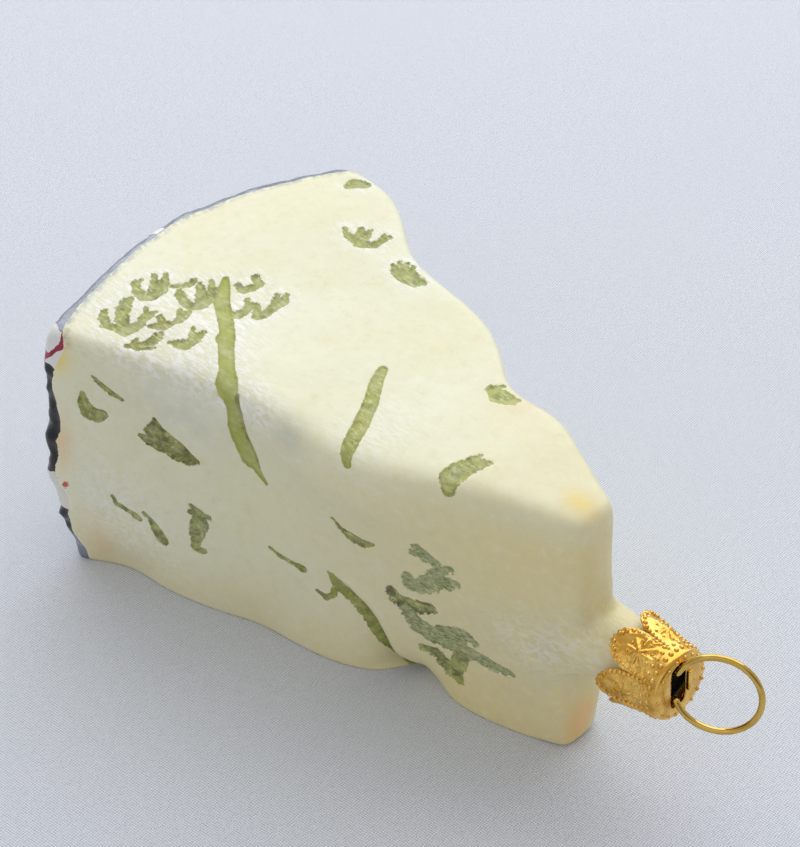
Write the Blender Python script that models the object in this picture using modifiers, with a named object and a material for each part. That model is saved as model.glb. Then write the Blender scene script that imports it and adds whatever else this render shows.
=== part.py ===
"""A blown-glass tree ornament in the shape of a wedge of blue-veined cheese.

The glass lies on its flat cut side. The rind is at -X and the thin end of the wedge at +X, where the glass is
drawn out into a short neck. A pressed metal cap sits over the neck, and a sprung wire hanger goes through its slot.

Frame: metres, +Z up, the origin on the flat base 36 mm in front of the middle of the rind's chord.
"""

import math

import bmesh
import bpy
from mathutils import Euler, Matrix, Vector
from mathutils.bvhtree import BVHTree

MM = 0.001

# The wedge
HEIGHT = 46.3 * MM
RIND_X = -37.3 * MM  # the chord of the rind
RIND_NEAR_Y = -29.2 * MM
RIND_FAR_Y = 29.4 * MM
RIND_BULGE = 8.6 * MM
RIND_STEPS = 14
NOSE_X = 45.4 * MM  # the blunt thin end
NOSE_NEAR_Y = -5.0 * MM
NOSE_FAR_Y = 2.6 * MM
EDGE_ROUNDING = 3.6 * MM
SUNK_BASE = 2.2 * MM  # cut away again, so that the base is flat
GRID = 2.3 * MM  # size of the faces of the glass
SMOOTHING_PASSES = 2

# The neck, along its own axis, which rises a little towards its mouth
CAP_FACE = (59.5 * MM, 0.0, 22.5 * MM)
NECK_RISE = math.radians(4)
NECK_RADIUS = 4.6 * MM
NECK_SHOULDER_RADIUS = 5.3 * MM
NECK_FLARE_RADIUS = 5.9 * MM
NECK_ROOT_RADIUS = 3.0 * MM  # hidden inside the wedge
MOUTH_DEPTH = 0.95 * MM  # mouth of the neck below the cap's face
MOUTH_ROUNDING = 0.4 * MM
STRAIGHT_DEPTH = 5.0 * MM  # where the neck starts to widen
SHOULDER_DEPTH = 9.5 * MM
FLARE_START = 12.5 * MM
FLARE_DEPTH = 14.0 * MM
NECK_ROOT_DEPTH = 24.0 * MM
BORE_RADIUS = 3.6 * MM
BORE_DEPTH = 13.0 * MM

# The cap
CAP_FACE_RADIUS = 4.75 * MM
CAP_RIM_RADIUS = 5.4 * MM
CAP_SHEET = 0.45 * MM
RIM_DEPTH = 0.7 * MM
COLLAR_DEPTH = 2.0 * MM  # where the notches between the petals end
PETAL_TIP_DEPTH = 9.3 * MM
PETAL_TIP_RADIUS = 6.9 * MM
PETALS = 6
PETAL_BLUNTNESS = 0.4  # lower is blunter
PETAL_FLARE = 1.7  # power by which a petal bends outwards
PETAL_ROWS = 7
STEPS_IN_PETAL = 8
SLOT_LENGTH = 7.5 * MM
SLOT_WIDTH = 3.1 * MM
SLOT_CORNER = 0.9 * MM
SLOT_CENTRE = (-0.5 * MM, -0.4 * MM)  # down the cap's face, and across it
LIP_LENGTH = 3.4 * MM
LIP_WIDTH = 0.7 * MM
LIP_HEIGHT = 0.45 * MM
LIP_SHIFT = 0.2 * MM  # down, from the middle of the slot
LIP_OVERHANG = 0.1 * MM  # over the edge of the slot, until the slot is cut
LIP_CHAMFER = 0.15 * MM

# The hanger
WIRE_RADIUS = 0.475 * MM
RING_RADIUS = 6.0 * MM
RING_CENTRE = (-0.43 * MM, 1.73 * MM, 4.87 * MM)  # down, across and out from the cap's face
RING_YAW = math.radians(27.5)
RING_LEAN = math.radians(7.4)
RING_MOUTH = math.radians(23)  # half the angle that the ring leaves open inside the slot
RING_STEPS = 28
KNEE_SPREAD = 2.2 * MM  # the legs just below the slot
KNEE_DEPTH = 2.2 * MM
LEG_SPREAD = 2.5 * MM  # the ends of the legs
LEG_DEPTH = 9.5 * MM
LEG_ACROSS = -0.2 * MM
LEG_STEPS = 3  # in each bend

# Swellings (+) and hollows (-) of the glass: centre, how far it reaches along X, Y and Z, and the push, in mm
SWELLINGS = {
    "far shoulder by the rind": ((-27.0, 27.5, 36.0), (8.0, 12.0, 26.0), (1.0, 3.8, 0.0)),
    "far waist": ((-13.0, 20.5, 34.0), (4.5, 10.0, 24.0), (-0.2, -0.8, 0.0)),
    "far middle lump": ((4.0, 15.0, 36.0), (7.0, 10.0, 24.0), (0.7, 2.1, 0.0)),
    "far notch": ((19.0, 10.0, 38.0), (4.0, 8.0, 24.0), (-0.5, -1.9, 0.0)),
    "far lump by the tip": ((28.0, 6.5, 38.0), (5.0, 8.0, 24.0), (0.4, 1.1, 0.0)),
    "near lobe behind the fold": ((26.0, -11.0, 20.0), (12.0, 12.0, 40.0), (0.5, -1.3, 0.0)),
    "near waist": ((-17.0, -21.0, 20.0), (11.0, 10.0, 40.0), (-0.3, 1.0, 0.0)),
    "near side drawn in at its foot": ((22.0, -11.0, 0.0), (13.0, 12.0, 17.0), (-1.0, 3.7, 0.0)),
    "near rind corner, pulled in above": ((-43.0, -16.0, 40.0), (5.0, 8.0, 14.0), (1.0, 0.3, 0.0)),
    "roll at the near top edge": ((12.0, -15.0, 42.0), (10.0, 7.0, 7.0), (0.8, -2.4, -1.6)),
    "hollow right of the vein": ((-4.0, -19.0, 33.0), (5.0, 7.0, 7.0), (-0.4, 1.3, 0.0)),
    "foil fold at the near corner": ((-37.0, -29.0, 32.0), (5.0, 5.0, 9.0), (-2.7, -2.7, 0.0)),
    "second foil fold": ((-37.0, -29.0, 20.0), (5.0, 5.0, 4.0), (-2.0, -2.2, 0.0)),
    "third foil fold": ((-37.0, -29.0, 8.0), (5.0, 5.0, 4.5), (-2.1, -2.2, 0.0)),
    "foil ridge, middle of the rind": ((-46.0, 2.0, 24.0), (6.0, 3.0, 22.0), (-0.7, 0.0, 0.0)),
    "foil ridge, far half of the rind": ((-44.0, 16.0, 18.0), (6.0, 3.0, 16.0), (-0.8, 0.3, 0.0)),
    "dip of the top": ((-2.0, 3.0, 45.0), (18.0, 12.0, 6.0), (0.0, 0.0, -0.7)),
    "rise of the top by the rind": ((-31.0, 10.0, 45.0), (8.0, 14.0, 6.0), (0.0, 0.0, 0.5)),
    "fall of the top at the tip": ((42.0, 0.0, 45.0), (6.0, 8.0, 8.0), (-0.4, 0.0, -0.9)),
    "foot of the tip": ((45.0, -4.0, 5.0), (6.0, 6.0, 9.0), (-0.8, 0.6, 0.0)),
}

# The fold on the near side, from its upper end down to the base: x, height and radius, in mm
FOLD = [(4.8, 14.8, 0.5), (6.8, 16.9, 0.9), (9.2, 16.2, 1.2), (11.5, 14.4, 1.4), (13.1, 11.6, 1.5), (14.2, 8.2, 1.6),
        (15.4, 4.6, 1.8), (16.8, 1.2, 2.0), (17.9, -1.6, 2.2)]
FOLD_OUTSET = 0.3  # mm, from the surface to the middle of the groove
FOLD_STEPS = 4
FOLD_SIDES = 8

# Hollows of the larger mould marks on the near side: x, height, length, width and depth in mm, and tilt in degrees
SIDE_MARKS = {
    "dark pit": (-18.6, 31.0, 9.0, 4.4, 1.5, -32.0),
    "spot by the rind": (-31.0, 32.8, 5.0, 4.0, 0.5, -30.0),
    "lower end of the vein": (-6.0, 36.5, 13.0, 3.0, 0.7, -70.0),
    "square patch": (-15.4, 15.6, 9.5, 3.0, 0.6, -88.0),
    "slit above the fold": (11.6, 28.4, 6.6, 2.2, 0.8, -20.0),
    "knot of the spray": (19.6, 18.0, 6.2, 3.2, 1.1, -10.0),
}
MARK_SEGMENTS = 12
MARK_RINGS = 6


def clear_scene():
    for obj in list(bpy.data.objects):
        bpy.data.objects.remove(obj)


def new_collection(name):
    collection = bpy.data.collections.new(name)
    bpy.context.scene.collection.children.link(collection)
    return collection


def new_object(name, mesh, collection, parent=None):
    obj = bpy.data.objects.new(name, mesh)
    obj.parent = parent
    collection.objects.link(obj)
    return obj


def mesh_of(bm, name):
    mesh = bpy.data.meshes.new(name)
    bm.to_mesh(mesh)
    bm.free()
    return mesh


def baked(obj, name, collection, parent=None):
    """The object with its modifiers applied, as a new object in the same place. The old one is removed."""
    bpy.context.view_layer.update()
    evaluated = obj.evaluated_get(bpy.context.evaluated_depsgraph_get())
    mesh = bpy.data.meshes.new_from_object(evaluated)
    result = new_object(name, mesh, collection, parent)
    result.matrix_basis = obj.matrix_basis.copy()
    bpy.data.objects.remove(obj)
    return result


def as_cutter(obj):
    obj.hide_render = True
    obj.display_type = "WIRE"
    return obj


def boolean(obj, name, operation, other):
    modifier = obj.modifiers.new(name, "BOOLEAN")
    modifier.operation = operation
    modifier.solver = "EXACT"
    if isinstance(other, bpy.types.Collection):
        modifier.operand_type = "COLLECTION"
        modifier.collection = other
    else:
        modifier.object = other
    return modifier


def material(name, colour, roughness, metallic=0.0):
    result = bpy.data.materials.new(name)
    result.use_nodes = True
    shader = result.node_tree.nodes["Principled BSDF"]
    shader.inputs["Base Color"].default_value = (*colour, 1)
    shader.inputs["Roughness"].default_value = roughness
    shader.inputs["Metallic"].default_value = metallic
    return result


def turned(name, profile, steps, collection, parent):
    """A Screw of a profile of (radius, distance along the axis), which runs down the outer side, top to bottom."""
    bm = bmesh.new()
    points = [bm.verts.new((radius, 0, along)) for radius, along in profile]
    for start, end in zip(points, points[1:]):
        bm.edges.new((start, end))
    obj = new_object(name, mesh_of(bm, name), collection, parent)
    screw = obj.modifiers.new("turn", "SCREW")
    screw.steps = screw.render_steps = steps
    screw.use_merge_vertices = True
    screw.merge_threshold = 0.0001
    return obj


def rind_arc():
    """Points of the rind in plan, from the far corner to the near one."""
    half = (RIND_FAR_Y - RIND_NEAR_Y) / 2
    middle = (RIND_FAR_Y + RIND_NEAR_Y) / 2
    radius = (half**2 + RIND_BULGE**2) / (2 * RIND_BULGE)
    reach = math.asin(half / radius)
    for step in range(RIND_STEPS + 1):
        angle = reach * (1 - 2 * step / RIND_STEPS)
        yield RIND_X - RIND_BULGE + radius * (1 - math.cos(angle)), middle + radius * math.sin(angle)


def wedge_blank(collection):
    """The plain wedge: a flat outline, extruded, with rounded edges."""
    bm = bmesh.new()
    outline = [(NOSE_X, NOSE_NEAR_Y), (NOSE_X, NOSE_FAR_Y), *rind_arc()]
    face = bm.faces.new([bm.verts.new((x, y, -SUNK_BASE)) for x, y in outline])
    walls = bmesh.ops.extrude_face_region(bm, geom=[face])
    top = [item for item in walls["geom"] if isinstance(item, bmesh.types.BMVert)]
    bmesh.ops.translate(bm, verts=top, vec=(0, 0, HEIGHT + SUNK_BASE))
    bmesh.ops.recalc_face_normals(bm, faces=bm.faces)
    obj = new_object("wedge_blank", mesh_of(bm, "wedge_blank"), collection)
    bevel = obj.modifiers.new("rounded edges", "BEVEL")
    bevel.width = EDGE_ROUNDING
    bevel.segments = 4
    bevel.limit_method = "ANGLE"
    bevel.angle_limit = math.radians(30)
    return obj


def neck_blank(collection, axis):
    """The drawn-out neck, solid, with the flare by which it leaves the wedge."""
    profile = [
        (0, -MOUTH_DEPTH),
        (NECK_RADIUS - MOUTH_ROUNDING, -MOUTH_DEPTH),
        (NECK_RADIUS, -MOUTH_DEPTH - MOUTH_ROUNDING),
        (NECK_RADIUS, -STRAIGHT_DEPTH),
        (NECK_SHOULDER_RADIUS, -SHOULDER_DEPTH),
        (NECK_SHOULDER_RADIUS, -FLARE_START),
        (NECK_FLARE_RADIUS, -FLARE_DEPTH),
        (NECK_ROOT_RADIUS, -NECK_ROOT_DEPTH),
        (0, -NECK_ROOT_DEPTH),
    ]
    return turned("neck_blank", profile, 28, collection, axis)


def pushed(point):
    """Where a point of the plain wedge goes when every swelling and hollow has been added."""
    moved = point.copy()
    for centre, reach, push in SWELLINGS.values():
        distance = sum(((point[i] / MM - centre[i]) / reach[i]) ** 2 for i in range(3))
        moved += Vector(push) * MM * math.exp(-distance / 2)
    return moved


def near_side_directions():
    """Along the near cut side towards the nose, and straight out of it."""
    side = Vector((NOSE_X - RIND_X, NOSE_NEAR_Y - RIND_NEAR_Y, 0)).normalized()
    return side, Vector((side.y, -side.x, 0))


def on_near_side(tree, x, height, outset):
    """The point of the near side at that x and height, in mm, moved outwards by outset."""
    side, outwards = near_side_directions()
    line_y = RIND_NEAR_Y + (x * MM - RIND_X) * side.y / side.x
    start = Vector((x * MM, line_y - 20 * MM, max(height, 0.3) * MM))
    hit = tree.ray_cast(start, Vector((0, 1, 0)))[0]
    return Vector((hit.x, hit.y, height * MM)) + outwards * outset * MM


def fold_cutter(tree, collection):
    """A tapered tube along the fold."""
    curve = bpy.data.curves.new("fold_cutter", "CURVE")
    curve.dimensions = "3D"
    curve.bevel_depth = 1.0 * MM
    curve.bevel_resolution = (FOLD_SIDES - 4) // 2
    curve.use_fill_caps = True
    spline = curve.splines.new("POLY")
    stations = []
    for start, end in zip(FOLD, FOLD[1:]):
        for step in range(FOLD_STEPS):
            share = step / FOLD_STEPS
            stations.append([a + (b - a) * share for a, b in zip(start, end)])
    stations.append(list(FOLD[-1]))
    spline.points.add(len(stations) - 1)
    for point, (x, height, radius) in zip(spline.points, stations):
        point.co = (*on_near_side(tree, x, height, FOLD_OUTSET), 1)
        point.radius = radius
    obj = new_object("fold_cutter", curve, collection)
    mesh_obj = baked(obj, "fold", collection)
    bm = bmesh.new()
    bm.from_mesh(mesh_obj.data)
    bmesh.ops.remove_doubles(bm, verts=bm.verts, dist=1e-6)
    bm.to_mesh(mesh_obj.data)
    bm.free()
    return as_cutter(mesh_obj)


def mark_cutter(tree, name, place, collection):
    """A flattened ball that hollows one mould mark."""
    x, height, length, width, depth, tilt = place
    middle = on_near_side(tree, x, height, 0)
    side, outwards = near_side_directions()
    bm = bmesh.new()
    bmesh.ops.create_uvsphere(bm, u_segments=MARK_SEGMENTS, v_segments=MARK_RINGS, radius=1)
    size = Matrix.Diagonal((length * MM / 2, width * MM / 2, depth * MM, 1))
    turn = Matrix.Rotation(math.radians(tilt), 4, "Z")
    upright = Matrix((side, (0, 0, 1), outwards)).transposed().to_4x4()
    bmesh.ops.transform(bm, matrix=Matrix.Translation(middle) @ upright @ turn @ size, verts=bm.verts)
    return as_cutter(new_object(name.replace(" ", "_"), mesh_of(bm, name), collection))


def glass_wedge(parts, cutters, axis):
    """The glass: wedge and neck in one, with its swellings, the fold, the larger marks and the bore."""
    blank = wedge_blank(cutters)
    neck = as_cutter(neck_blank(cutters, axis))
    boolean(blank, "neck", "UNION", neck)
    remesh = blank.modifiers.new("even faces", "REMESH")
    remesh.mode = "VOXEL"
    remesh.voxel_size = GRID
    body = baked(blank, "wedge_body", cutters)
    for vertex in body.data.vertices:
        vertex.co = pushed(vertex.co)
    smooth = body.modifiers.new("soft glass", "SMOOTH")
    smooth.factor = 0.5
    smooth.iterations = SMOOTHING_PASSES
    body = baked(body, "glass_wedge", parts)

    bpy.context.view_layer.update()
    tree = BVHTree.FromObject(body, bpy.context.evaluated_depsgraph_get())
    marks = new_collection("marks")
    fold = fold_cutter(tree, cutters)
    for name, place in SIDE_MARKS.items():
        mark_cutter(tree, name, place, marks)
    boolean(body, "fold", "DIFFERENCE", fold)
    boolean(body, "marks", "DIFFERENCE", marks)

    bm = bmesh.new()
    bmesh.ops.create_cube(bm, size=200 * MM, matrix=Matrix.Translation((0, 0, -100 * MM)))
    table = as_cutter(new_object("table", mesh_of(bm, "table"), cutters))
    boolean(body, "flat base", "DIFFERENCE", table)

    bm = bmesh.new()
    bmesh.ops.create_cone(
        bm, cap_ends=True, segments=24, radius1=BORE_RADIUS, radius2=BORE_RADIUS, depth=BORE_DEPTH + 2 * MM
    )
    bore = as_cutter(new_object("bore", mesh_of(bm, "bore"), cutters, axis))
    bore.location = (0, 0, -BORE_DEPTH / 2 + 1 * MM)
    boolean(body, "bore", "DIFFERENCE", bore)
    body.data.materials.clear()
    body.data.materials.append(material("painted_glass", (0.83, 0.80, 0.60), 0.3))
    return body


def petal_depth(turn):
    """How far down the hem of the cap reaches, at a turn about its axis given in whole petals."""
    return COLLAR_DEPTH + (PETAL_TIP_DEPTH - COLLAR_DEPTH) * math.sin(math.pi * (turn % 1.0)) ** PETAL_BLUNTNESS


def petal_radius(share):
    """Radius of the cap's wall at a share of the way from its rim to the petals' tips."""
    return CAP_RIM_RADIUS + (PETAL_TIP_RADIUS - CAP_RIM_RADIUS) * share**PETAL_FLARE


def petal_cap(parts, cutters, axis):
    """The pressed cap: a turned cup whose hem is drawn out into petals, with a slot and one lip in its face."""
    profile = [(0, 0), (CAP_FACE_RADIUS, 0), (CAP_RIM_RADIUS, -RIM_DEPTH)]
    drop = PETAL_TIP_DEPTH - RIM_DEPTH
    profile += [(petal_radius(row / PETAL_ROWS), -RIM_DEPTH - drop * row / PETAL_ROWS) for row in range(1, PETAL_ROWS + 1)]
    cup = baked(turned("cup", profile, PETALS * STEPS_IN_PETAL, cutters, axis), "cup", cutters, axis)
    for vertex in cup.data.vertices:
        share = (-vertex.co.z - RIM_DEPTH) / drop
        if share < 0.5 / PETAL_ROWS:
            continue
        turn = math.atan2(vertex.co.y, vertex.co.x) / math.tau * PETALS
        share *= (petal_depth(turn) - RIM_DEPTH) / drop
        scale = petal_radius(share) / math.hypot(vertex.co.x, vertex.co.y)
        vertex.co = (vertex.co.x * scale, vertex.co.y * scale, -RIM_DEPTH - drop * share)
    cup.data.materials.clear()
    sheet = cup.modifiers.new("sheet", "SOLIDIFY")
    sheet.thickness = CAP_SHEET
    sheet.offset = -1
    cap = baked(cup, "petal_cap", parts, axis)

    bm = bmesh.new()
    bmesh.ops.create_cube(bm, size=1)
    size = Matrix.Diagonal((LIP_LENGTH, LIP_WIDTH, LIP_HEIGHT + CAP_SHEET / 2, 1))
    place = Matrix.Translation((
        SLOT_CENTRE[0] + LIP_SHIFT,
        SLOT_CENTRE[1] + SLOT_WIDTH / 2 + LIP_WIDTH / 2 - LIP_OVERHANG,
        (LIP_HEIGHT - CAP_SHEET / 2) / 2,
    ))
    bmesh.ops.transform(bm, matrix=place @ size, verts=bm.verts)
    bmesh.ops.bevel(bm, geom=bm.edges[:], offset=LIP_CHAMFER, segments=1, affect="EDGES")
    lip = as_cutter(new_object("lip", mesh_of(bm, "lip"), cutters, axis))
    boolean(cap, "lip", "UNION", lip)

    bm = bmesh.new()
    bmesh.ops.create_cube(bm, size=1, matrix=Matrix.Diagonal((SLOT_LENGTH, SLOT_WIDTH, 4 * MM, 1)))
    upright = [edge for edge in bm.edges if abs(edge.verts[0].co.z - edge.verts[1].co.z) > 1 * MM]
    bmesh.ops.bevel(bm, geom=upright, offset=SLOT_CORNER, segments=4, profile=0.5, affect="EDGES")
    slot = as_cutter(new_object("slot", mesh_of(bm, "slot"), cutters, axis))
    slot.location = (*SLOT_CENTRE, 0)
    boolean(cap, "slot", "DIFFERENCE", slot)
    cap.data.materials.append(material("gold_cap", (0.80, 0.52, 0.13), 0.28, 1.0))
    return cap


def smooth_path(points, steps):
    """Points along a curve that runs through the given ones."""
    path = []
    for i in range(len(points) - 1):
        before = points[max(i - 1, 0)]
        start, end = points[i], points[i + 1]
        after = points[min(i + 2, len(points) - 1)]
        for step in range(steps):
            t = step / steps
            path.append(
                0.5
                * (
                    2 * start
                    + (end - before) * t
                    + (2 * before - 5 * start + 4 * end - after) * t**2
                    + (3 * start - before - 3 * end + after) * t**3
                )
            )
    path.append(points[-1])
    return path


def hanger_route():
    """The wire's middle line in the cap's frame: one leg, round the ring, and the other leg."""
    centre = Vector(RING_CENTRE)
    outwards = Vector((0, math.sin(RING_YAW), math.cos(RING_YAW)))
    up = Vector((-math.cos(RING_LEAN), math.sin(RING_LEAN) * math.cos(RING_YAW), -math.sin(RING_LEAN) * math.sin(RING_YAW)))
    ring = []
    for step in range(RING_STEPS + 1):
        angle = RING_MOUTH + (math.tau - 2 * RING_MOUTH) * step / RING_STEPS
        ring.append(centre + RING_RADIUS * (up * math.sin(angle) - outwards * math.cos(angle)))
    legs = []
    for end, sign in ((ring[0], -1), (ring[-1], 1)):
        foot = Vector((sign * LEG_SPREAD, LEG_ACROSS, -LEG_DEPTH))
        knee = Vector((SLOT_CENTRE[0] + sign * KNEE_SPREAD, end.y, -KNEE_DEPTH))
        legs.append(smooth_path([end, knee, (knee + foot) / 2, foot], LEG_STEPS)[1:])
    return legs[0][::-1] + ring + legs[1]


def wire_hanger(parts, axis):
    """The sprung wire hanger."""
    curve = bpy.data.curves.new("wire_hanger", "CURVE")
    curve.dimensions = "3D"
    curve.bevel_depth = WIRE_RADIUS
    curve.bevel_resolution = 2
    curve.use_fill_caps = True
    route = hanger_route()
    spline = curve.splines.new("POLY")
    spline.points.add(len(route) - 1)
    for point, place in zip(spline.points, route):
        point.co = (*place, 1)
    curve.materials.append(material("gold_wire", (0.72, 0.54, 0.20), 0.22, 1.0))
    return new_object("wire_hanger", curve, parts, axis)


def build():
    clear_scene()
    parts = new_collection("glass_cheese_ornament")
    cutters = new_collection("cutters")
    axis = new_object("cap_face", None, parts)
    axis.location = CAP_FACE
    axis.rotation_euler = Euler((0, math.pi / 2 - NECK_RISE, 0))
    bpy.context.view_layer.update()
    glass_wedge(parts, cutters, axis)
    petal_cap(parts, cutters, axis)
    wire_hanger(parts, axis)


build()
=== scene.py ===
"""A blown-glass tree ornament in the shape of a wedge of blue-veined cheese, lying on a pale woven cloth.

The glass is painted with cream lacquer, the marks of the mould are picked out in olive, and the rind wears
painted foil. A gold petal cap with a wire hanger closes the neck at the thin end. Sizes are in millimetres,
and each mesh is turned into metres as it is made.
"""

import math
from collections import namedtuple

import bmesh
import bpy
import numpy as np
from mathutils import Euler, Matrix, Vector, noise
from mathutils.bvhtree import BVHTree


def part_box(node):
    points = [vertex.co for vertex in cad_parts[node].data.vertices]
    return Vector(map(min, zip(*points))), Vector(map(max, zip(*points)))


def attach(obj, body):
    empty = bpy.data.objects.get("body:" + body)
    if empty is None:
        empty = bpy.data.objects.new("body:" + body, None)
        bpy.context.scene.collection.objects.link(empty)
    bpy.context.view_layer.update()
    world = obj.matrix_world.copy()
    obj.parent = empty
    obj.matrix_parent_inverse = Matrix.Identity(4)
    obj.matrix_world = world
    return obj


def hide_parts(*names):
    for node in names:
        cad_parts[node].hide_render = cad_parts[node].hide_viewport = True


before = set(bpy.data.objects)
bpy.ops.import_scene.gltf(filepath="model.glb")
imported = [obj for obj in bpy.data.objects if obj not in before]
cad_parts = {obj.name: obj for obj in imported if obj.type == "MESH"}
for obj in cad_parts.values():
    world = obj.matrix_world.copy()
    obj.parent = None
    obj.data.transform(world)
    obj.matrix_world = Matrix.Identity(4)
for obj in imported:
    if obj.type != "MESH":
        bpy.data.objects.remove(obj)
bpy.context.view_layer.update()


# The view: a camera held above the thin end's near side, with a long lens, looking down at about 40 degrees
# on the ornament as it lies.
MM = 0.001
view_from = Vector((184.84, -176.78, 249.92)) * MM
view_to = Vector((-5.93, 11.34, 22.7)) * MM
camera_data = bpy.data.cameras.new("camera")
camera_data.lens = 97.76
camera_data.sensor_width = 36.0
camera_data.clip_start = 0.01
camera_data.clip_end = 20.0
camera = bpy.data.objects.new("camera", camera_data)
camera.location = view_from
camera.rotation_euler = (view_to - view_from).to_track_quat("-Z", "Y").to_euler()
bpy.context.scene.collection.objects.link(camera)
bpy.context.scene.camera = camera
bpy.context.scene.view_settings.view_transform = "Standard"


# The glass body: one piece of blown glass, a wedge with soft rounded edges, whose thin end is drawn out into
# a short open neck. It is blown into a mould, which leaves its swellings, waists and lumps.
wedge_height = 46.3
rind_x = -37.3
rind_near_y, rind_far_y = -29.2, 29.4
rind_bulge = 8.6
rind_steps = 56
tip_x = 45.4
tip_near_y, tip_far_y = -5.0, 2.6
edge_rounding, edge_segments, sharp_edge = 3.6, 8, math.radians(30)
sunk_base = 2.2
glass_grid = 0.6
blank_smoothing = 30

cap_face = Vector((59.5, 0.0, 22.5))
neck_rise = math.radians(4)
neck_turn = Euler((0, math.pi / 2 - neck_rise, 0)).to_matrix()
neck_profile = [
    (4.2, -0.95), (4.6, -1.35), (4.6, -5.0), (5.3, -9.5), (5.3, -12.5), (5.9, -14.0), (3.0, -24.0),
]
neck_steps = 72
bore_radius, bore_depth, bore_steps = 3.6, 13.0, 40

# centre, reach along X, Y and Z, and push
swellings = {
    "far shoulder by the rind": ((-27.0, 27.5, 36.0), (8.0, 12.0, 26.0), (1.0, 3.8, 0.0)),
    "far waist": ((-13.0, 20.5, 34.0), (4.5, 10.0, 24.0), (-0.2, -0.8, 0.0)),
    "far middle lump": ((4.0, 15.0, 36.0), (7.0, 10.0, 24.0), (0.7, 2.1, 0.0)),
    "far notch": ((19.0, 10.0, 38.0), (4.0, 8.0, 24.0), (-0.5, -1.9, 0.0)),
    "far lump by the tip": ((28.0, 6.5, 38.0), (5.0, 8.0, 24.0), (0.4, 1.1, 0.0)),
    "near lobe behind the fold": ((26.0, -11.0, 20.0), (12.0, 12.0, 40.0), (0.5, -1.3, 0.0)),
    "near waist": ((-17.0, -21.0, 20.0), (11.0, 10.0, 40.0), (-0.3, 1.0, 0.0)),
    "near side drawn in at its foot": ((22.0, -11.0, 0.0), (13.0, 12.0, 17.0), (-1.0, 3.7, 0.0)),
    "near rind corner, pulled in above": ((-43.0, -16.0, 40.0), (5.0, 8.0, 14.0), (1.0, 0.3, 0.0)),
    "roll at the near top edge": ((12.0, -15.0, 42.0), (10.0, 7.0, 7.0), (0.8, -2.4, -1.6)),
    "hollow right of the vein": ((-4.0, -19.0, 33.0), (5.0, 7.0, 7.0), (-0.4, 1.3, 0.0)),
    "foil fold at the near corner": ((-37.0, -29.0, 32.0), (5.0, 5.0, 9.0), (-2.7, -2.7, 0.0)),
    "second foil fold": ((-37.0, -29.0, 20.0), (5.0, 5.0, 4.0), (-2.0, -2.2, 0.0)),
    "third foil fold": ((-37.0, -29.0, 8.0), (5.0, 5.0, 4.5), (-2.1, -2.2, 0.0)),
    "foil ridge, middle of the rind": ((-46.0, 2.0, 24.0), (6.0, 3.0, 22.0), (-0.7, 0.0, 0.0)),
    "foil ridge, far half of the rind": ((-44.0, 16.0, 18.0), (6.0, 3.0, 16.0), (-0.8, 0.3, 0.0)),
    "dip of the top": ((-2.0, 3.0, 45.0), (18.0, 12.0, 6.0), (0.0, 0.0, -0.7)),
    "rise of the top by the rind": ((-31.0, 10.0, 45.0), (8.0, 14.0, 6.0), (0.0, 0.0, 0.5)),
    "fall of the top at the tip": ((42.0, 0.0, 45.0), (6.0, 8.0, 8.0), (-0.4, 0.0, -0.9)),
    "foot of the tip": ((45.0, -4.0, 5.0), (6.0, 6.0, 9.0), (-0.8, 0.6, 0.0)),
    "foot of the tip, rounded": ((46.0, 0.5, 0.0), (3.0, 4.0, 5.0), (-1.2, 0.0, 0.0)),
    "crease between the neck and the foot": ((47.0, -2.5, 13.4), (3.5, 5.0, 1.7), (-2.8, 0.8, 0.0)),
    "near corner between the upper foil folds": ((-37.0, -28.5, 32.0), (5.0, 5.0, 5.5), (1.2, 1.2, 0.0)),
    "near corner between the lower foil folds": ((-37.0, -28.5, 21.6), (5.0, 5.0, 1.8), (1.0, 1.0, 0.0)),
    "near corner at its foot": ((-30.0, -25.5, 0.0), (4.5, 5.0, 4.0), (-0.3, 2.2, 0.0)),
    "near corner above its foot": ((-37.0, -28.5, 7.0), (5.0, 5.0, 4.0), (0.5, 0.5, 0.0)),
    "near foot below the vein": ((-6.5, -18.0, 0.0), (4.0, 5.0, 4.0), (0.0, 1.0, 0.0)),
    "lobe left of the fold": ((8.6, -14.3, 1.0), (5.0, 6.0, 6.0), (0.2, -1.2, 0.0)),
    "foot of the fold, undercut": ((18.4, -10.0, -0.3), (2.3, 6.0, 2.6), (-0.6, 4.8, 0.0)),
    "undercut beyond the fold": ((21.6, -9.5, -1.0), (2.4, 6.0, 2.2), (0.0, 1.3, 0.0)),
    "foot beyond the undercut": ((30.0, -8.0, 0.0), (4.5, 6.0, 5.0), (0.0, -0.8, 0.0)),
    "near top edge by the rind": ((-21.0, -23.5, 46.0), (13.0, 3.5, 3.5), (0.0, 0.5, -1.0)),
}


def shown(name, mesh):
    """An object at the origin that holds the mesh."""
    made = bpy.data.objects.new(name, mesh)
    bpy.context.scene.collection.objects.link(made)
    return made


def finished(name, points, faces, lines=()):
    """A mesh object at the origin, from points in millimetres."""
    mesh = bpy.data.meshes.new(name)
    mesh.from_pydata([tuple(point) for point in np.asarray(points) * MM], lines, faces)
    mesh.validate()
    return shown(name, mesh)


def applied(made):
    """Turns what the object's modifiers make into its own plain mesh."""
    bpy.context.view_layer.update()
    mesh = bpy.data.meshes.new_from_object(made.evaluated_get(bpy.context.evaluated_depsgraph_get()))
    made.modifiers.clear()
    made.data = mesh


def dropped(spent):
    bpy.data.objects.remove(spent)


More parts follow.
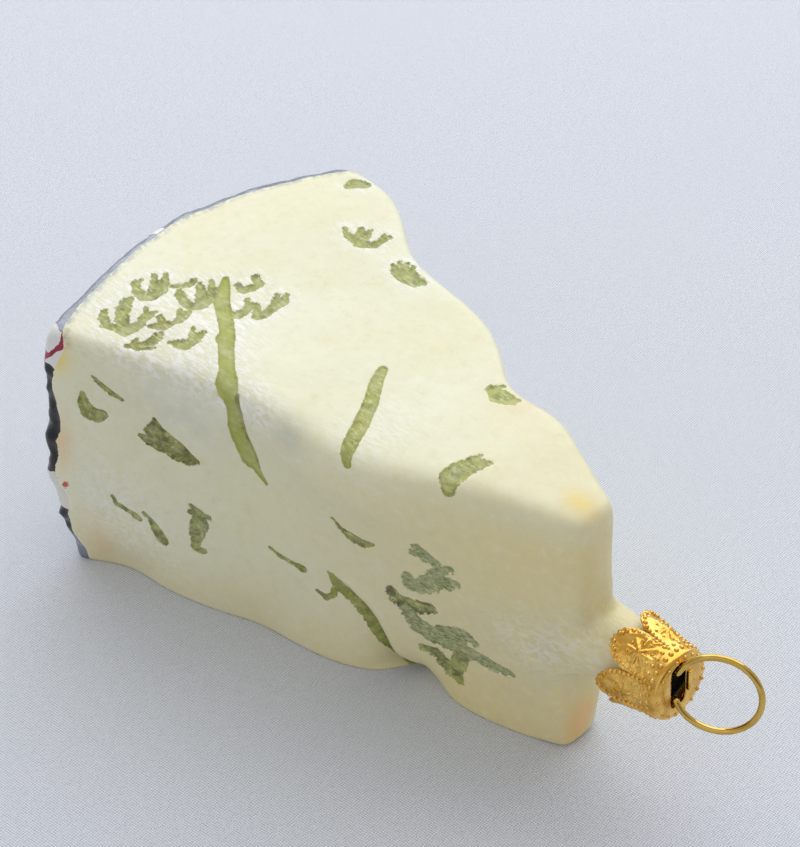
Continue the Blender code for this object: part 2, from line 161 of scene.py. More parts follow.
def faced_outwards(made, merged_within=0.0, front=None, front_faces=0):
    """Turns the faces outwards. On an open sheet the first faces look along front instead."""
    shaped = bmesh.new()
    shaped.from_mesh(made.data)
    if merged_within:
        bmesh.ops.remove_doubles(shaped, verts=shaped.verts, dist=merged_within * MM)
    bmesh.ops.recalc_face_normals(shaped, faces=shaped.faces)
    if front and sum(face.normal.dot(front) for face in list(shaped.faces)[:front_faces]) < 0:
        bmesh.ops.reverse_faces(shaped, faces=shaped.faces)
    shaped.to_mesh(made.data)
    shaped.free()


def turned(profile, steps, place, turn):
    """Points and faces of a profile of (radius, distance) turned about an axis, and closed at both ends."""
    points, faces = [], []
    for radius, along in profile:
        for step in range(steps):
            angle = math.tau * step / steps
            points.append(place + turn @ Vector((radius * math.cos(angle), radius * math.sin(angle), along)))
    for above in range(0, (len(profile) - 1) * steps, steps):
        for here in range(steps):
            beside, below = (here + 1) % steps, above + steps
            faces.append((above + here, below + here, below + beside, above + beside))
    faces.append(tuple(range(steps)))
    faces.append(tuple(reversed(range((len(profile) - 1) * steps, len(profile) * steps))))
    return points, faces


rind_half = (rind_far_y - rind_near_y) / 2
rind_middle = (rind_far_y + rind_near_y) / 2
rind_radius = (rind_half**2 + rind_bulge**2) / (2 * rind_bulge)
rind_centre = np.array((rind_x - rind_bulge + rind_radius, rind_middle))
outline = [(tip_x, tip_near_y), (tip_x, tip_far_y)]
for step in range(rind_steps + 1):
    angle = math.asin(rind_half / rind_radius) * (1 - 2 * step / rind_steps)
    on_rind = rind_centre + rind_radius * np.array((-math.cos(angle), math.sin(angle)))
    outline.append(tuple(on_rind))

count = len(outline)
blank = finished(
    "blank",
    [(x, y, -sunk_base) for x, y in outline] + [(x, y, wedge_height) for x, y in outline],
    [tuple(reversed(range(count))), tuple(range(count, 2 * count))]
    + [(i, (i + 1) % count, count + (i + 1) % count, count + i) for i in range(count)],
)
bevel = blank.modifiers.new("rounded edges", "BEVEL")
bevel.width = edge_rounding * MM
bevel.segments = edge_segments
bevel.limit_method = "ANGLE"
bevel.angle_limit = sharp_edge
neck = finished("neck", *turned(neck_profile, neck_steps, cap_face, neck_turn))
faced_outwards(blank)
faced_outwards(neck)
joined = blank.modifiers.new("neck", "BOOLEAN")
joined.operation = "UNION"
joined.solver = "EXACT"
joined.object = neck
even = blank.modifiers.new("even faces", "REMESH")
even.mode = "VOXEL"
even.voxel_size = glass_grid * MM
soft = blank.modifiers.new("soft glass", "SMOOTH")
soft.factor = 0.5
soft.iterations = blank_smoothing
applied(blank)
dropped(neck)


def rows_of(items, what):
    """A row of three numbers for each item."""
    found = np.empty(len(items) * 3, dtype=np.float32)
    items.foreach_get(what, found)
    return found.astype(float).reshape(-1, 3)


def places(mesh):
    """The mesh's points in millimetres."""
    return rows_of(mesh.vertices, "co") / MM


def moved_to(mesh, points):
    mesh.vertices.foreach_set("co", (points * MM).ravel())
    mesh.update()


def pushed(points):
    """Where the points of the plain wedge go when every swelling has been added, flat underneath."""
    moved = points.copy()
    for centre, reach, push in swellings.values():
        distance = (((points - centre) / reach) ** 2).sum(axis=1)
        moved += np.exp(-distance / 2)[:, None] * push
    moved[:, 2] = np.maximum(moved[:, 2], 0.0)
    return moved


# The painted marks of the mould: brush strokes of olive lacquer along leaves, sprigs, stalks and pits that
# the mould left in the glass. Each stroke is a list of (x, y, half width) on the top, or of (x, height, half
# width) on a side.
top_leaves = {
    "left leaf of the sprig": [
        [(-32.5, -22.7, 0.3), (-31.2, -22.0, 0.45), (-29.3, -21.3, 0.7), (-28.8, -20.2, 0.6),
         (-28.7, -18.7, 0.5)],
        [(-32.6, -22.3, 0.45), (-34.0, -21.7, 0.4), (-34.7, -20.7, 0.25)],
        [(-30.0, -21.0, 0.7), (-31.6, -20.0, 0.75), (-33.4, -18.5, 0.55), (-34.5, -17.0, 0.2)],
        [(-32.4, -18.7, 0.4), (-34.1, -16.1, 0.15)],
        [(-28.7, -19.0, 0.5), (-29.4, -17.4, 0.4), (-30.7, -16.1, 0.15)],
        [(-28.9, -17.6, 0.3), (-29.0, -15.8, 0.12)],
    ],
    "back leaf of the sprig": [
        [(-34.7, -14.6, 0.45), (-32.9, -14.8, 0.6), (-32.2, -13.8, 0.7), (-32.4, -11.6, 0.6)],
        [(-34.6, -14.5, 0.45), (-36.2, -13.7, 0.4), (-36.3, -12.6, 0.15)],
        [(-32.6, -13.1, 0.6), (-34.1, -11.6, 0.5), (-35.9, -10.3, 0.12)],
        [(-32.7, -11.4, 0.6), (-33.7, -10.0, 0.4), (-34.8, -8.9, 0.12)],
    ],
    "thin leaf behind the vein": [
        [(-32.0, -10.3, 0.1), (-31.0, -9.2, 0.25), (-30.5, -8.0, 0.4), (-30.7, -7.0, 0.3)],
    ],
    "middle leaf of the sprig": [
        [(-28.0, -11.3, 0.5), (-26.4, -11.4, 0.6), (-25.6, -10.2, 0.7), (-25.9, -7.9, 0.6)],
        [(-27.9, -11.2, 0.55), (-29.7, -10.6, 0.4), (-30.5, -10.0, 0.2)],
        [(-26.1, -9.4, 0.7), (-28.0, -7.8, 0.55), (-29.5, -6.8, 0.15)],
        [(-26.2, -7.6, 0.45), (-27.3, -6.4, 0.35), (-28.8, -5.2, 0.12)],
    ],
    "small leaf of the sprig": [
        [(-25.4, -15.6, 0.2), (-25.0, -14.6, 0.4), (-25.3, -13.4, 0.4)],
        [(-25.6, -14.1, 0.3), (-26.9, -12.8, 0.15)],
        [(-25.4, -13.3, 0.3), (-25.5, -12.4, 0.12)],
    ],
    "golden leaf of the sprig": [
        [(-27.3, -18.4, 0.12), (-26.6, -17.5, 0.5), (-25.8, -16.9, 0.7), (-25.3, -16.0, 0.3)],
        [(-26.6, -16.8, 0.5), (-27.7, -15.9, 0.2)],
    ],
    "front leaf of the sprig": [
        [(-26.8, -23.2, 0.12), (-25.9, -22.3, 0.4), (-25.1, -21.3, 0.35), (-24.7, -19.7, 0.6),
         (-24.9, -18.3, 0.35)],
        [(-26.2, -22.3, 0.3), (-26.7, -21.5, 0.15)],
        [(-25.2, -22.5, 0.08), (-23.5, -20.7, 0.08)],
    ],
    "leaf at the foot of the sprig": [
        [(-22.6, -18.6, 0.12), (-21.4, -18.0, 0.5), (-20.3, -17.4, 0.7), (-20.1, -15.9, 0.6),
         (-20.5, -14.5, 0.3)],
        [(-20.4, -16.1, 0.45), (-22.2, -14.5, 0.15)],
        [(-20.2, -14.8, 0.2), (-20.5, -13.7, 0.1)],
    ],
    "far leaf beyond the vein": [
        [(-25.4, -3.0, 0.3), (-24.0, -3.2, 0.5), (-23.5, -2.0, 0.5), (-23.3, -0.6, 0.4)],
        [(-23.5, -0.8, 0.5), (-25.0, 0.2, 0.35)],
    ],
    "leaf that leaves the vein": [
        [(-21.0, -8.2, 0.3), (-20.2, -7.6, 0.6), (-20.1, -6.4, 0.5), (-20.5, -4.7, 0.4)],
        [(-20.6, -5.1, 0.4), (-22.0, -4.3, 0.15)],
    ],
    "right leaf beyond the vein": [
        [(-17.9, -5.8, 0.5), (-17.6, -4.9, 0.5), (-18.0, -2.9, 0.55), (-18.0, -0.8, 0.5)],
        [(-18.3, -5.6, 0.4), (-20.0, -4.1, 0.2)],
        [(-18.4, -2.1, 0.4), (-19.7, -0.4, 0.15)],
        [(-18.3, -0.8, 0.3), (-18.9, 0.8, 0.12)],
        [(-17.9, -0.9, 0.25), (-17.9, 0.2, 0.1)],
    ],
    "far sprig": [
        [(-22.5, 16.9, 0.35), (-20.2, 17.0, 0.6), (-18.6, 18.3, 0.5), (-18.4, 21.4, 0.2)],
        [(-22.6, 16.9, 0.4), (-24.6, 18.0, 0.15)],
        [(-21.0, 17.3, 0.8), (-22.7, 19.6, 0.3)],
        [(-20.9, 18.6, 0.5), (-21.6, 20.3, 0.2)],
        [(-18.7, 20.2, 0.3), (-19.3, 21.2, 0.12)],
    ],
    "leaf at the far waist": [
        [(-11.9, 16.3, 0.45), (-10.5, 16.4, 1.05), (-8.3, 16.6, 1.1), (-6.9, 17.2, 0.35)],
        [(-12.0, 16.6, 0.3), (-13.2, 16.9, 0.12)],
        [(-11.6, 17.0, 0.3), (-12.9, 18.1, 0.12)],
        [(-10.8, 17.2, 0.3), (-12.0, 18.9, 0.12)],
        [(-9.9, 17.4, 0.3), (-10.8, 19.2, 0.12)],
    ],
}
top_patches = {
    "patch on the far shoulder": [[(-32.3, 26.0, 0.5), (-32.0, 27.3, 1.1), (-30.9, 28.1, 0.9)]],
    "frilled spot at the far notch": [
        [(17.3, 6.5, 0.7), (19.2, 6.2, 1.4), (20.8, 6.6, 0.8), (21.6, 7.4, 0.2)],
        [(17.4, 7.0, 0.4), (17.9, 8.2, 0.2)],
    ],
    "frilled patch at the near edge": [
        [(26.6, -11.6, 0.8), (25.8, -10.2, 1.5), (26.1, -8.2, 1.5), (26.7, -6.4, 1.1), (28.1, -4.9, 0.15)],
        [(25.8, -6.6, 0.7), (25.9, -4.8, 0.15)],
    ],
}
vein_on_top = [
    (-27.7, -3.3, 0.3), (-26.1, -5.2, 0.8), (-23.9, -7.5, 1.0), (-21.1, -9.3, 1.0), (-18.2, -11.4, 0.9),
    (-17.2, -12.6, 1.25), (-16.4, -13.3, 1.0), (-14.4, -14.9, 0.95), (-11.9, -17.1, 0.95),
    (-10.6, -18.4, 1.45), (-9.6, -19.1, 1.45),
]
vein_on_side = [
    (-9.0, 44.2, 0.9), (-7.9, 42.3, 0.8), (-7.9, 39.2, 1.0), (-7.5, 37.1, 1.2), (-6.9, 35.0, 1.2),
    (-6.5, 33.2, 1.1), (-5.5, 32.2, 0.5), (-4.7, 31.0, 0.3), (-3.8, 30.0, 0.1),
]
# A darker olive strip along the vein's right edge on the side: painted shade on the wall of the vein's
# hollow.
vein_shaded_edge_on_side = [
    (-7.8, 44.6, 0.25), (-6.9, 42.4, 0.35), (-6.4, 38.0, 0.35), (-5.6, 35.2, 0.25), (-5.0, 32.5, 0.1),
]
stick_on_top = [(3.1, -1.0, 0.55), (4.2, -3.2, 0.75), (7.2, -7.4, 0.9), (9.4, -11.5, 1.0), (10.9, -14.9, 0.9)]
stick_on_side = [(10.9, 44.6, 0.9), (12.4, 43.2, 0.35)]
side_marks = {
    "spot by the rind": [
        [(-32.2, 35.9, 0.3), (-32.2, 34.2, 0.8), (-31.6, 32.6, 1.3), (-30.6, 32.3, 1.2), (-29.3, 32.9, 0.5)],
    ],
    "sliver above the spot": [
        [(-30.4, 39.7, 0.08), (-29.1, 38.5, 0.25), (-27.9, 37.5, 0.35), (-26.2, 36.9, 0.1)],
    ],
    "upper thread": [
        [(-29.2, 16.9, 0.12), (-28.8, 15.5, 0.2), (-27.1, 14.7, 0.18), (-26.1, 14.2, 0.4),
         (-25.3, 13.6, 0.3)],
    ],
    "lower thread": [[(-24.5, 15.3, 0.1), (-23.4, 14.2, 0.3), (-22.6, 12.5, 0.75), (-21.6, 10.8, 0.75)]],
    "thin sliver": [[(-3.0, 18.3, 0.08), (-1.0, 17.4, 0.18), (1.3, 17.0, 0.22), (2.4, 16.7, 0.5)]],
    "slit above the fold": [
        [(8.6, 30.5, 0.08), (9.8, 28.9, 0.25), (11.3, 27.9, 0.85), (13.0, 27.5, 0.7), (14.7, 28.2, 0.15)],
    ],
}
far_marks = {
    "slit on the far side": [
        [(-20.0, 30.0, 0.1), (-17.5, 31.0, 0.7), (-15.2, 32.6, 0.9), (-13.8, 33.4, 0.2)],
    ],
    "patch on the far side": [[(-2.0, 16.0, 0.5), (-0.8, 18.0, 1.2), (-1.4, 20.4, 1.0), (-0.2, 22.0, 0.3)]],
    "thread on the far side": [[(10.0, 34.0, 0.1), (11.5, 32.5, 0.4), (12.4, 31.0, 0.7), (13.1, 30.4, 0.2)]],
    "stalk on the far side": [
        [(-31.0, 8.0, 0.15), (-27.0, 10.6, 0.7), (-23.4, 11.4, 0.9), (-19.0, 13.6, 0.7), (-16.4, 14.8, 0.15)],
    ],
    "spot on the far side": [[(24.0, 20.0, 0.4), (25.0, 21.4, 1.1), (26.2, 23.4, 0.6)]],
    "sliver on the far side": [[(4.0, 8.0, 0.1), (6.5, 9.2, 0.35), (9.0, 9.6, 0.15)]],
    "leaf on the far side": [
        [(-28.4, 36.8, 0.2), (-26.8, 35.2, 0.7), (-25.0, 35.6, 0.8), (-23.6, 37.2, 0.3)],
        [(-26.4, 35.6, 0.5), (-26.6, 38.4, 0.15)],
        [(-25.0, 36.0, 0.4), (-24.8, 38.6, 0.15)],
    ],
}
pit_strokes = [
    [(-21.2, 35.0, 0.1), (-20.7, 33.2, 0.8), (-19.6, 31.2, 1.8), (-18.0, 30.3, 1.8), (-16.3, 29.6, 1.1),
     (-14.8, 29.5, 0.3)],
    [(-23.7, 30.9, 0.2), (-22.4, 30.5, 0.9), (-20.5, 30.6, 1.5)],
    [(-21.5, 34.0, 0.3), (-21.9, 32.2, 1.0), (-21.4, 30.6, 1.3)],
]
pit_upper_edge = [(-21.4, 35.4, 0.1), (-19.2, 34.1, 0.1), (-17.0, 32.7, 0.1), (-14.9, 30.4, 0.1)]
oblong = [
    [(-16.2, 20.2, 0.3), (-14.9, 19.0, 1.0), (-14.9, 17.6, 1.35), (-15.4, 16.0, 1.25), (-15.8, 14.2, 1.0),
     (-16.0, 12.6, 0.6)],
    [(-16.2, 12.0, 0.5), (-15.2, 11.7, 0.5), (-14.5, 11.9, 0.2)],
    [(-16.4, 19.0, 0.4), (-13.4, 19.3, 0.3)],
]
spray = {
    "upper": [
        [(22.0, 31.6, 0.3), (23.0, 30.2, 0.6), (24.7, 29.5, 0.12)],
        [(21.3, 30.2, 0.12), (22.8, 30.5, 0.4)],
    ],
    "middle": [
        [(19.8, 24.3, 0.25), (19.7, 22.4, 0.6), (21.0, 22.5, 0.8), (22.6, 23.8, 1.0), (24.4, 25.7, 1.1)],
        [(24.4, 25.7, 1.1), (25.8, 26.0, 0.7), (27.4, 26.6, 0.1)],
        [(23.4, 25.4, 0.6), (24.9, 28.0, 0.4), (26.5, 29.2, 0.1)],
    ],
    "knot": [
        [(16.6, 19.3, 0.15), (17.1, 17.8, 0.5), (18.5, 17.4, 0.75), (20.2, 17.6, 0.75), (22.4, 18.6, 0.35)],
    ],
    "lower": [
        [(18.4, 17.0, 0.5), (19.4, 14.8, 0.9), (20.5, 13.3, 1.2), (22.4, 12.8, 1.3), (24.2, 12.8, 1.2)],
        [(24.2, 12.6, 1.1), (26.4, 12.4, 1.0), (29.1, 12.2, 0.6), (31.7, 11.9, 0.5), (35.0, 11.9, 0.1)],
        [(23.8, 14.8, 0.2), (26.4, 15.6, 0.45), (28.0, 15.9, 0.5), (29.3, 15.0, 0.15)],
        [(24.9, 13.6, 0.4), (27.2, 14.0, 0.45)],
    ],
    "foot": [
        [(20.6, 8.7, 0.12), (22.8, 9.0, 0.3), (23.7, 7.8, 0.6), (25.0, 6.8, 0.9), (26.3, 5.9, 0.5),
         (26.7, 5.2, 0.1)],
        [(27.0, 11.0, 0.6), (26.4, 8.1, 0.6)],
    ],
}
fold_line = [
    (7.0, 18.2), (8.2, 17.4), (9.9, 16.4), (12.1, 14.4), (13.7, 12.0), (14.9, 8.8), (15.9, 5.6),
    (17.2, 2.2), (18.4, -0.8),
]
fold_curl = [(4.6, 13.3, 0.12), (6.0, 12.5, 0.3), (7.2, 13.6, 0.3), (7.6, 15.6, 0.35), (8.6, 16.2, 0.3)]


def linked_mean(mesh, values):
    """For each point, the mean of its neighbours' values."""
    ends = np.empty(len(mesh.edges) * 2, int)
    mesh.edges.foreach_get("vertices", ends)
    ends = ends.reshape(-1, 2)
    total = np.zeros_like(values)
    for start, end in ((0, 1), (1, 0)):
        for axis in range(values.shape[1]):
            total[:, axis] += np.bincount(ends[:, start], values[ends[:, end], axis], len(values))
    count = np.bincount(ends.ravel(), minlength=len(values))
    return total / np.maximum(count, 1)[:, None]


# The near top edge and the tip are rounder than the rest.
rounding_reach, rounding_passes, rounding_pull = 6.0, 46, 0.8
tip_from_x, tip_fades_over, clear_of_neck = 38.0, 5.0, 9.0
blown = places(blank.data)
bare = pushed(blown)
near_side_run = np.array((tip_near_y - rind_near_y, rind_x - tip_x))
from_near_side = -(blown[:, :2] - (tip_x, tip_near_y)) @ near_side_run / np.linalg.norm(near_side_run)
from_top = wedge_height - blown[:, 2]
from_edge = np.maximum((from_near_side, from_top), 0) / rounding_reach
roundness = np.exp(-(from_edge**2).sum(axis=0))
roundness *= np.interp(blown[:, 0], (-25.0, -5.0, 15.0, 40.0), (0.25, 0.75, 0.7, 0.4))
tip_roundness = np.clip((blown[:, 0] - tip_from_x) / tip_fades_over, 0, 1)
tip_roundness *= np.abs(blown[:, 2] - cap_face.z) > clear_of_neck
roundness = np.maximum(roundness, 0.5 * tip_roundness)[:, None]
for _ in range(rounding_passes):
    bare += rounding_pull * roundness * (linked_mean(blank.data, bare) - bare)
bare[:, 2] = np.maximum(bare[:, 2], 0.0)
moved_to(blank.data, bare)
sides = [tuple(face.vertices) for face in blank.data.polygons]
touch = BVHTree.FromPolygons([Vector(point) for point in bare.tolist()], sides)

far_off = 60.0
clear_of_glass = 70.0


def seated(stroke, seen_from):
    """The stroke laid on the glass from above or from one side, as rows of x, y, z and half width."""
    laid = []
    for here, there in zip(stroke, stroke[1:] + stroke[-1:]):
        for share in (0.0, 0.34, 0.67):
            u, v, half = (a + (b - a) * share for a, b in zip(here, there))
            if seen_from == "above":
                start, way = (u, v, clear_of_glass), (0, 0, -1)
            else:
                side = -1 if seen_from == "near side" else 1
                start, way = (u, side * clear_of_glass, max(v, 0.05)), (0, -side, 0)
            seat = touch.ray_cast(Vector(start), Vector(way))[0]
            if seat is not None:
                laid.append((*seat, half))
    return np.array(laid)


def away_from(points, laid):
    """Distance of each point from the edge of a laid stroke, negative inside it."""
    nearest = np.full(len(points), far_off)
    middle = laid[:, :3].mean(axis=0)
    reach = np.linalg.norm(laid[:, :3] - middle, axis=1).max() + 5.0
    close = np.flatnonzero(np.linalg.norm(points - middle, axis=1) < reach)
    for start, end in zip(laid[:-1], laid[1:]):
        along = end[:3] - start[:3]
        share = np.clip((points[close] - start[:3]) @ along / max(along @ along, 1e-9), 0, 1)
        gap = np.linalg.norm(points[close] - start[:3] - share[:, None] * along, axis=1)
        nearest[close] = np.minimum(nearest[close], gap - start[3] - (end[3] - start[3]) * share)
    return nearest


# The tone runs from grey-green at 0 to golden olive at 1, and depth is that of the hollow.
Mark = namedtuple("Mark", "name laid tone sponging depth torn darkness")
leaf_tones = {"golden leaf of the sprig": 1.0, "front leaf of the sprig": 0.85, "far sprig": 0.8}
spray_looks = {"knot": (0.8, 0.6, 0.6), "foot": (0.5, 0.45, 0.45)}
vein = [np.vstack((seated(vein_on_top, "above"), seated(vein_on_side, "near side")))]
vein_shade_strokes = [seated(vein_shaded_edge_on_side, "near side")]
stick = [np.vstack((seated(stick_on_top, "above"), seated(stick_on_side, "near side")))]
curl = [seated(fold_curl, "near side")]
marks = []
for name, strokes in top_leaves.items():
    laid = [seated([(x, y, half * 1.15 + 0.03) for x, y, half in stroke], "above") for stroke in strokes]
    tone = leaf_tones.get(name, 0.45)
    marks.append(Mark(name, laid, tone, sponging=0.14, depth=0.3, torn=0.3, darkness=0.1))
for name, strokes in top_patches.items():
    laid = [seated(stroke, "above") for stroke in strokes]
    sponging, darkness = (0.14, 0.0) if "spot" in name else (0.3, 0.15)
    marks.append(Mark(name, laid, 0.55, sponging, depth=0.3, torn=0.26, darkness=darkness))
marks.append(Mark("vein", vein, tone=0.6, sponging=0.0, depth=0.35, torn=0.09, darkness=0.0))
# the vein's right edge, olive darkened as painted shade in its hollow
marks.append(Mark("vein's shaded edge", vein_shade_strokes, tone=0.85, sponging=0.0, depth=0.4, torn=0.09, darkness=0.3))
marks.append(Mark("stick", stick, tone=0.8, sponging=0.1, depth=0.35, torn=0.1, darkness=0.05))
for group, seen_from, look in (
    (side_marks, "near side", dict(tone=0.7, sponging=0.2, depth=0.3, torn=0.18, darkness=0.35)),
    (far_marks, "far side", dict(tone=0.6, sponging=0.3, depth=0.3, torn=0.24, darkness=0.2)),
    ({"pit": pit_strokes}, "near side", dict(tone=0.9, sponging=0.15, depth=0.3, torn=0.18, darkness=0.4)),
    ({"oblong": oblong}, "near side", dict(tone=0.6, sponging=0.4, depth=0.35, torn=0.22, darkness=0.38)),
):
    for name, strokes in group.items():
        marks.append(Mark(name, [seated(stroke, seen_from) for stroke in strokes], **look))
for name, strokes in spray.items():
    tone, darkness, wider = spray_looks.get(name, (0.2, 0.25, 0.42))
    laid = [seated([(x, z, half + wider) for x, z, half in stroke], "near side") for stroke in strokes]
    sponging = 0.8 if tone < 0.4 else 0.3
    marks.append(Mark(name, laid, tone, sponging, depth=0.25, torn=0.42, darkness=darkness))
marks.append(Mark("curl of the fold", curl, tone=0.5, sponging=0.1, depth=0.2, torn=0.16, darkness=0.2))
fold_seat = seated([(x, z, 0.0) for x, z in fold_line], "near side")
pit_seat = seated(pit_upper_edge, "near side")


def nearest_mark(points):
    """For each point, its distance from the nearest mark, and that mark's number."""
    distance = np.full(len(points), far_off)
    number = np.zeros(len(points), int)
    for index, mark in enumerate(marks):
        for laid in mark.laid:
            gap = away_from(points, laid)
            number[gap < distance] = index
            distance = np.minimum(distance, gap)
    return distance, number


# Finer faces where the marks and the fold are, so that their edges come out crisp in the glass itself.
finer_within = 0.35
finer_beside_fold = 1.6
evening_passes, evening_pull = 4, 0.5
plain = blank.data
unpushed = plain.attributes.new("unpushed", "FLOAT_VECTOR", "POINT")
unpushed.data.foreach_set("vector", np.ascontiguousarray(blown.ravel(), dtype=np.float32))
gap = np.minimum(nearest_mark(bare)[0], away_from(bare, fold_seat) - finer_beside_fold)
fine = bmesh.new()
fine.from_mesh(plain)
near_mark = [face for face in fine.faces if min(gap[vertex.index] for vertex in face.verts) < finer_within]
edges = list({edge for face in near_mark for edge in face.edges})
bmesh.ops.subdivide_edges(fine, edges=edges, cuts=2, use_grid_fill=True)
fine.to_mesh(plain)
fine.free()

blown = rows_of(plain.attributes["unpushed"].data, "vector")
plain.attributes.remove(plain.attributes["unpushed"])
skin = places(plain)
for _ in range(evening_passes):
    skin += evening_pull * (linked_mean(plain, skin) - skin)
skin[:, 2] = np.where(skin[:, 2] < 0.02, 0.0, skin[:, 2])
moved_to(plain, skin)
normals = rows_of(plain.vertex_normals, "vector")


def eased(values, low, high):
    """0 below low, 1 above high, and smooth between them."""
    share = np.clip((values - low) / (high - low), 0, 1)
    return share * share * (3 - 2 * share)


def fading(distance, over):
    """1 at a place and before it, and falling away from it over about that distance."""
    return np.exp(-np.maximum(distance, 0) / over)


def lumps(points, size, seed):
    """Soft random lumps between -1 and 1, of about that size."""
    shift = Vector((seed * 7.3, seed * 3.1, seed * 5.7))
    return np.array([noise.noise(Vector(point) + shift) for point in (points / size).tolist()])


# The hollow of each mark, and the pocket of the pit under its upper edge. The paint runs a little past each.
paint_spread = 0.24
pocket_depth, pocket_reach = 1.25, 1.5
mark_gap, mark_number = nearest_mark(skin)
mark_gap -= paint_spread
tone, sponging, depth, torn, darkness = np.array([mark[2:] for mark in marks])[mark_number].T
hollow = 0.75 * depth * (1 - eased(mark_gap, -0.5, 0.15))
in_pit = mark_number == [mark.name for mark in marks].index("pit")
from_pit_edge = away_from(skin, pit_seat)
pocket = pocket_depth * fading(from_pit_edge, pocket_reach) * (1 - eased(mark_gap, -0.35, 0.1))
hollow += np.where(in_pit & (mark_gap < 0.3), pocket, 0)

# The step of the fold. Its gap is positive on the rind's side of the line, under the overlap.
fold_2d = np.array(fold_line)
fold_gap = np.full(len(skin), far_off)
fold_side = np.ones(len(skin))
fold_share = np.zeros(len(skin))
for index, (start, end) in enumerate(zip(fold_2d[:-1], fold_2d[1:])):
    along = end - start
    flat = skin[:, [0, 2]] - start
    share = np.clip(flat @ along / (along @ along), 0, 1)
    gap = np.linalg.norm(flat - share[:, None] * along, axis=1)
    better = (gap < fold_gap) & (normals[:, 1] < -0.2)
    fold_gap = np.where(better, gap, fold_gap)
    fold_side = np.where(better, np.sign(along[0] * flat[:, 1] - along[1] * flat[:, 0]), fold_side)
    fold_share = np.where(better, (index + share) / (len(fold_2d) - 1), fold_share)
fold_gap = fold_gap * -fold_side
fold_strength = eased(fold_share, 0.0, 0.3) * (np.abs(fold_gap) < 12)
fold_depth = np.interp(fold_share, (0.0, 0.4, 0.75, 1.0), (0.5, 1.2, 1.9, 2.4))
fold_width = np.interp(fold_share, (0.0, 0.5, 1.0), (1.8, 2.2, 3.6))
fold_paint_at = (0.0, 0.15, 0.45, 0.7, 0.8, 0.92, 1.0)
fold_paint_width = np.interp(fold_share, fold_paint_at, (0.7, 2.4, 3.1, 2.3, 1.7, 2.2, 2.6))
fold_shade_width = np.interp(fold_share, (0.0, 0.5, 1.0), (0.5, 1.0, 1.6))
under = np.exp(-((np.maximum(fold_gap, 0) / fold_width) ** 1.6)) * eased(fold_gap, -0.05, 0.22)
over = np.exp(-(((fold_gap + 1.1) / 1.1) ** 2))
hollow += fold_strength * np.where(fold_gap > -0.1, fold_depth * under, 0)
hollow -= fold_strength * np.where(fold_gap <= 0, 0.45 * over, 0)

# The foil on the rind, crumpled where it was pressed round the glass.
foil_past_rind, foil_wrap = 2.1, 1.5
from_rind = rind_radius - np.hypot(blown[:, 0] - rind_centre[0], blown[:, 1] - rind_centre[1])
edge_wander = 0.7 * lumps(skin, 5.0, 3) + 0.3 * lumps(skin, 1.6, 8)
foil_gap = from_rind - foil_past_rind + edge_wander * (1 - 0.6 * eased(skin[:, 2], 40.0, 45.0))
foil_gap -= foil_wrap * np.exp(-(((skin[:, 2] - 43.0) / 3.0) ** 2)) * (1 - eased(skin[:, 1], -27.0, -20.0))
on_foil = 1 - eased(foil_gap, -0.3, 0.2)
creases = np.abs(lumps(skin * (1.0, 1.0, 1.6), 6.0, 4)) + 0.5 * np.abs(lumps(skin, 2.6, 5))
crumpled = (0.9 - 0.6 * eased(skin[:, 2], 42.0, 45.5)) * creases
unevenness = (0.10 * lumps(skin, 7.0, 1) + 0.045 * lumps(skin, 2.2, 2)) * (1 - on_foil) - on_foil * crumpled
skin += normals * ((unevenness - hollow) * eased(skin[:, 2], 0.0, 0.8))[:, None]
skin[:, 2] = np.maximum(skin[:, 2], 0.0)
lowest, highest = (np.array(corner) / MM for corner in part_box("glass_wedge"))
skin = np.clip(skin, lowest, highest)
moved_to(plain, skin)


def painted(mesh, name, values):
    attribute = mesh.attributes.new(name, "FLOAT", "POINT")
    attribute.data.foreach_set("value", np.array(values, dtype=np.float32))


def spot(centre, reach):
    return np.exp(-(((skin - centre) / reach) ** 2).sum(axis=1) / 2)


# Where the olive paint lies, and how it was put on. In the pocket under the pit's upper edge and along the
# step of the fold it is darkened further, as painted shade.
fold_paint = np.where(fold_gap > -0.1, fold_gap - fold_paint_width, 0.3)
fold_mark = (np.abs(fold_gap) < 3) & (fold_paint < mark_gap)
# Painted shade: darker olive in the pocket under the pit's upper edge, and in the crevice along the fold's
# step.
pit_shade = np.where(in_pit, fading(from_pit_edge, 1.1), 0)
fold_shade = np.where(fold_gap > -0.1, 0.9 * np.exp(-np.abs(fold_gap) / fold_shade_width), 0) * fold_strength
painted(plain, "leaf_gap", np.clip(np.where(fold_mark, fold_paint, mark_gap), -3, 3))
painted(plain, "leaf_tone", np.where(fold_mark, 0.7, tone))
painted(plain, "leaf_sponging", np.where(fold_mark, 0.05, sponging))
painted(plain, "leaf_torn", np.where(fold_mark, 0.12, torn))
shade = np.maximum(pit_shade, fold_shade)
painted(plain, "leaf_dark_and_shade", np.maximum(shade, np.where(fold_mark, 0.25, darkness)))
painted(plain, "foil_gap", np.clip(foil_gap, -3, 3))
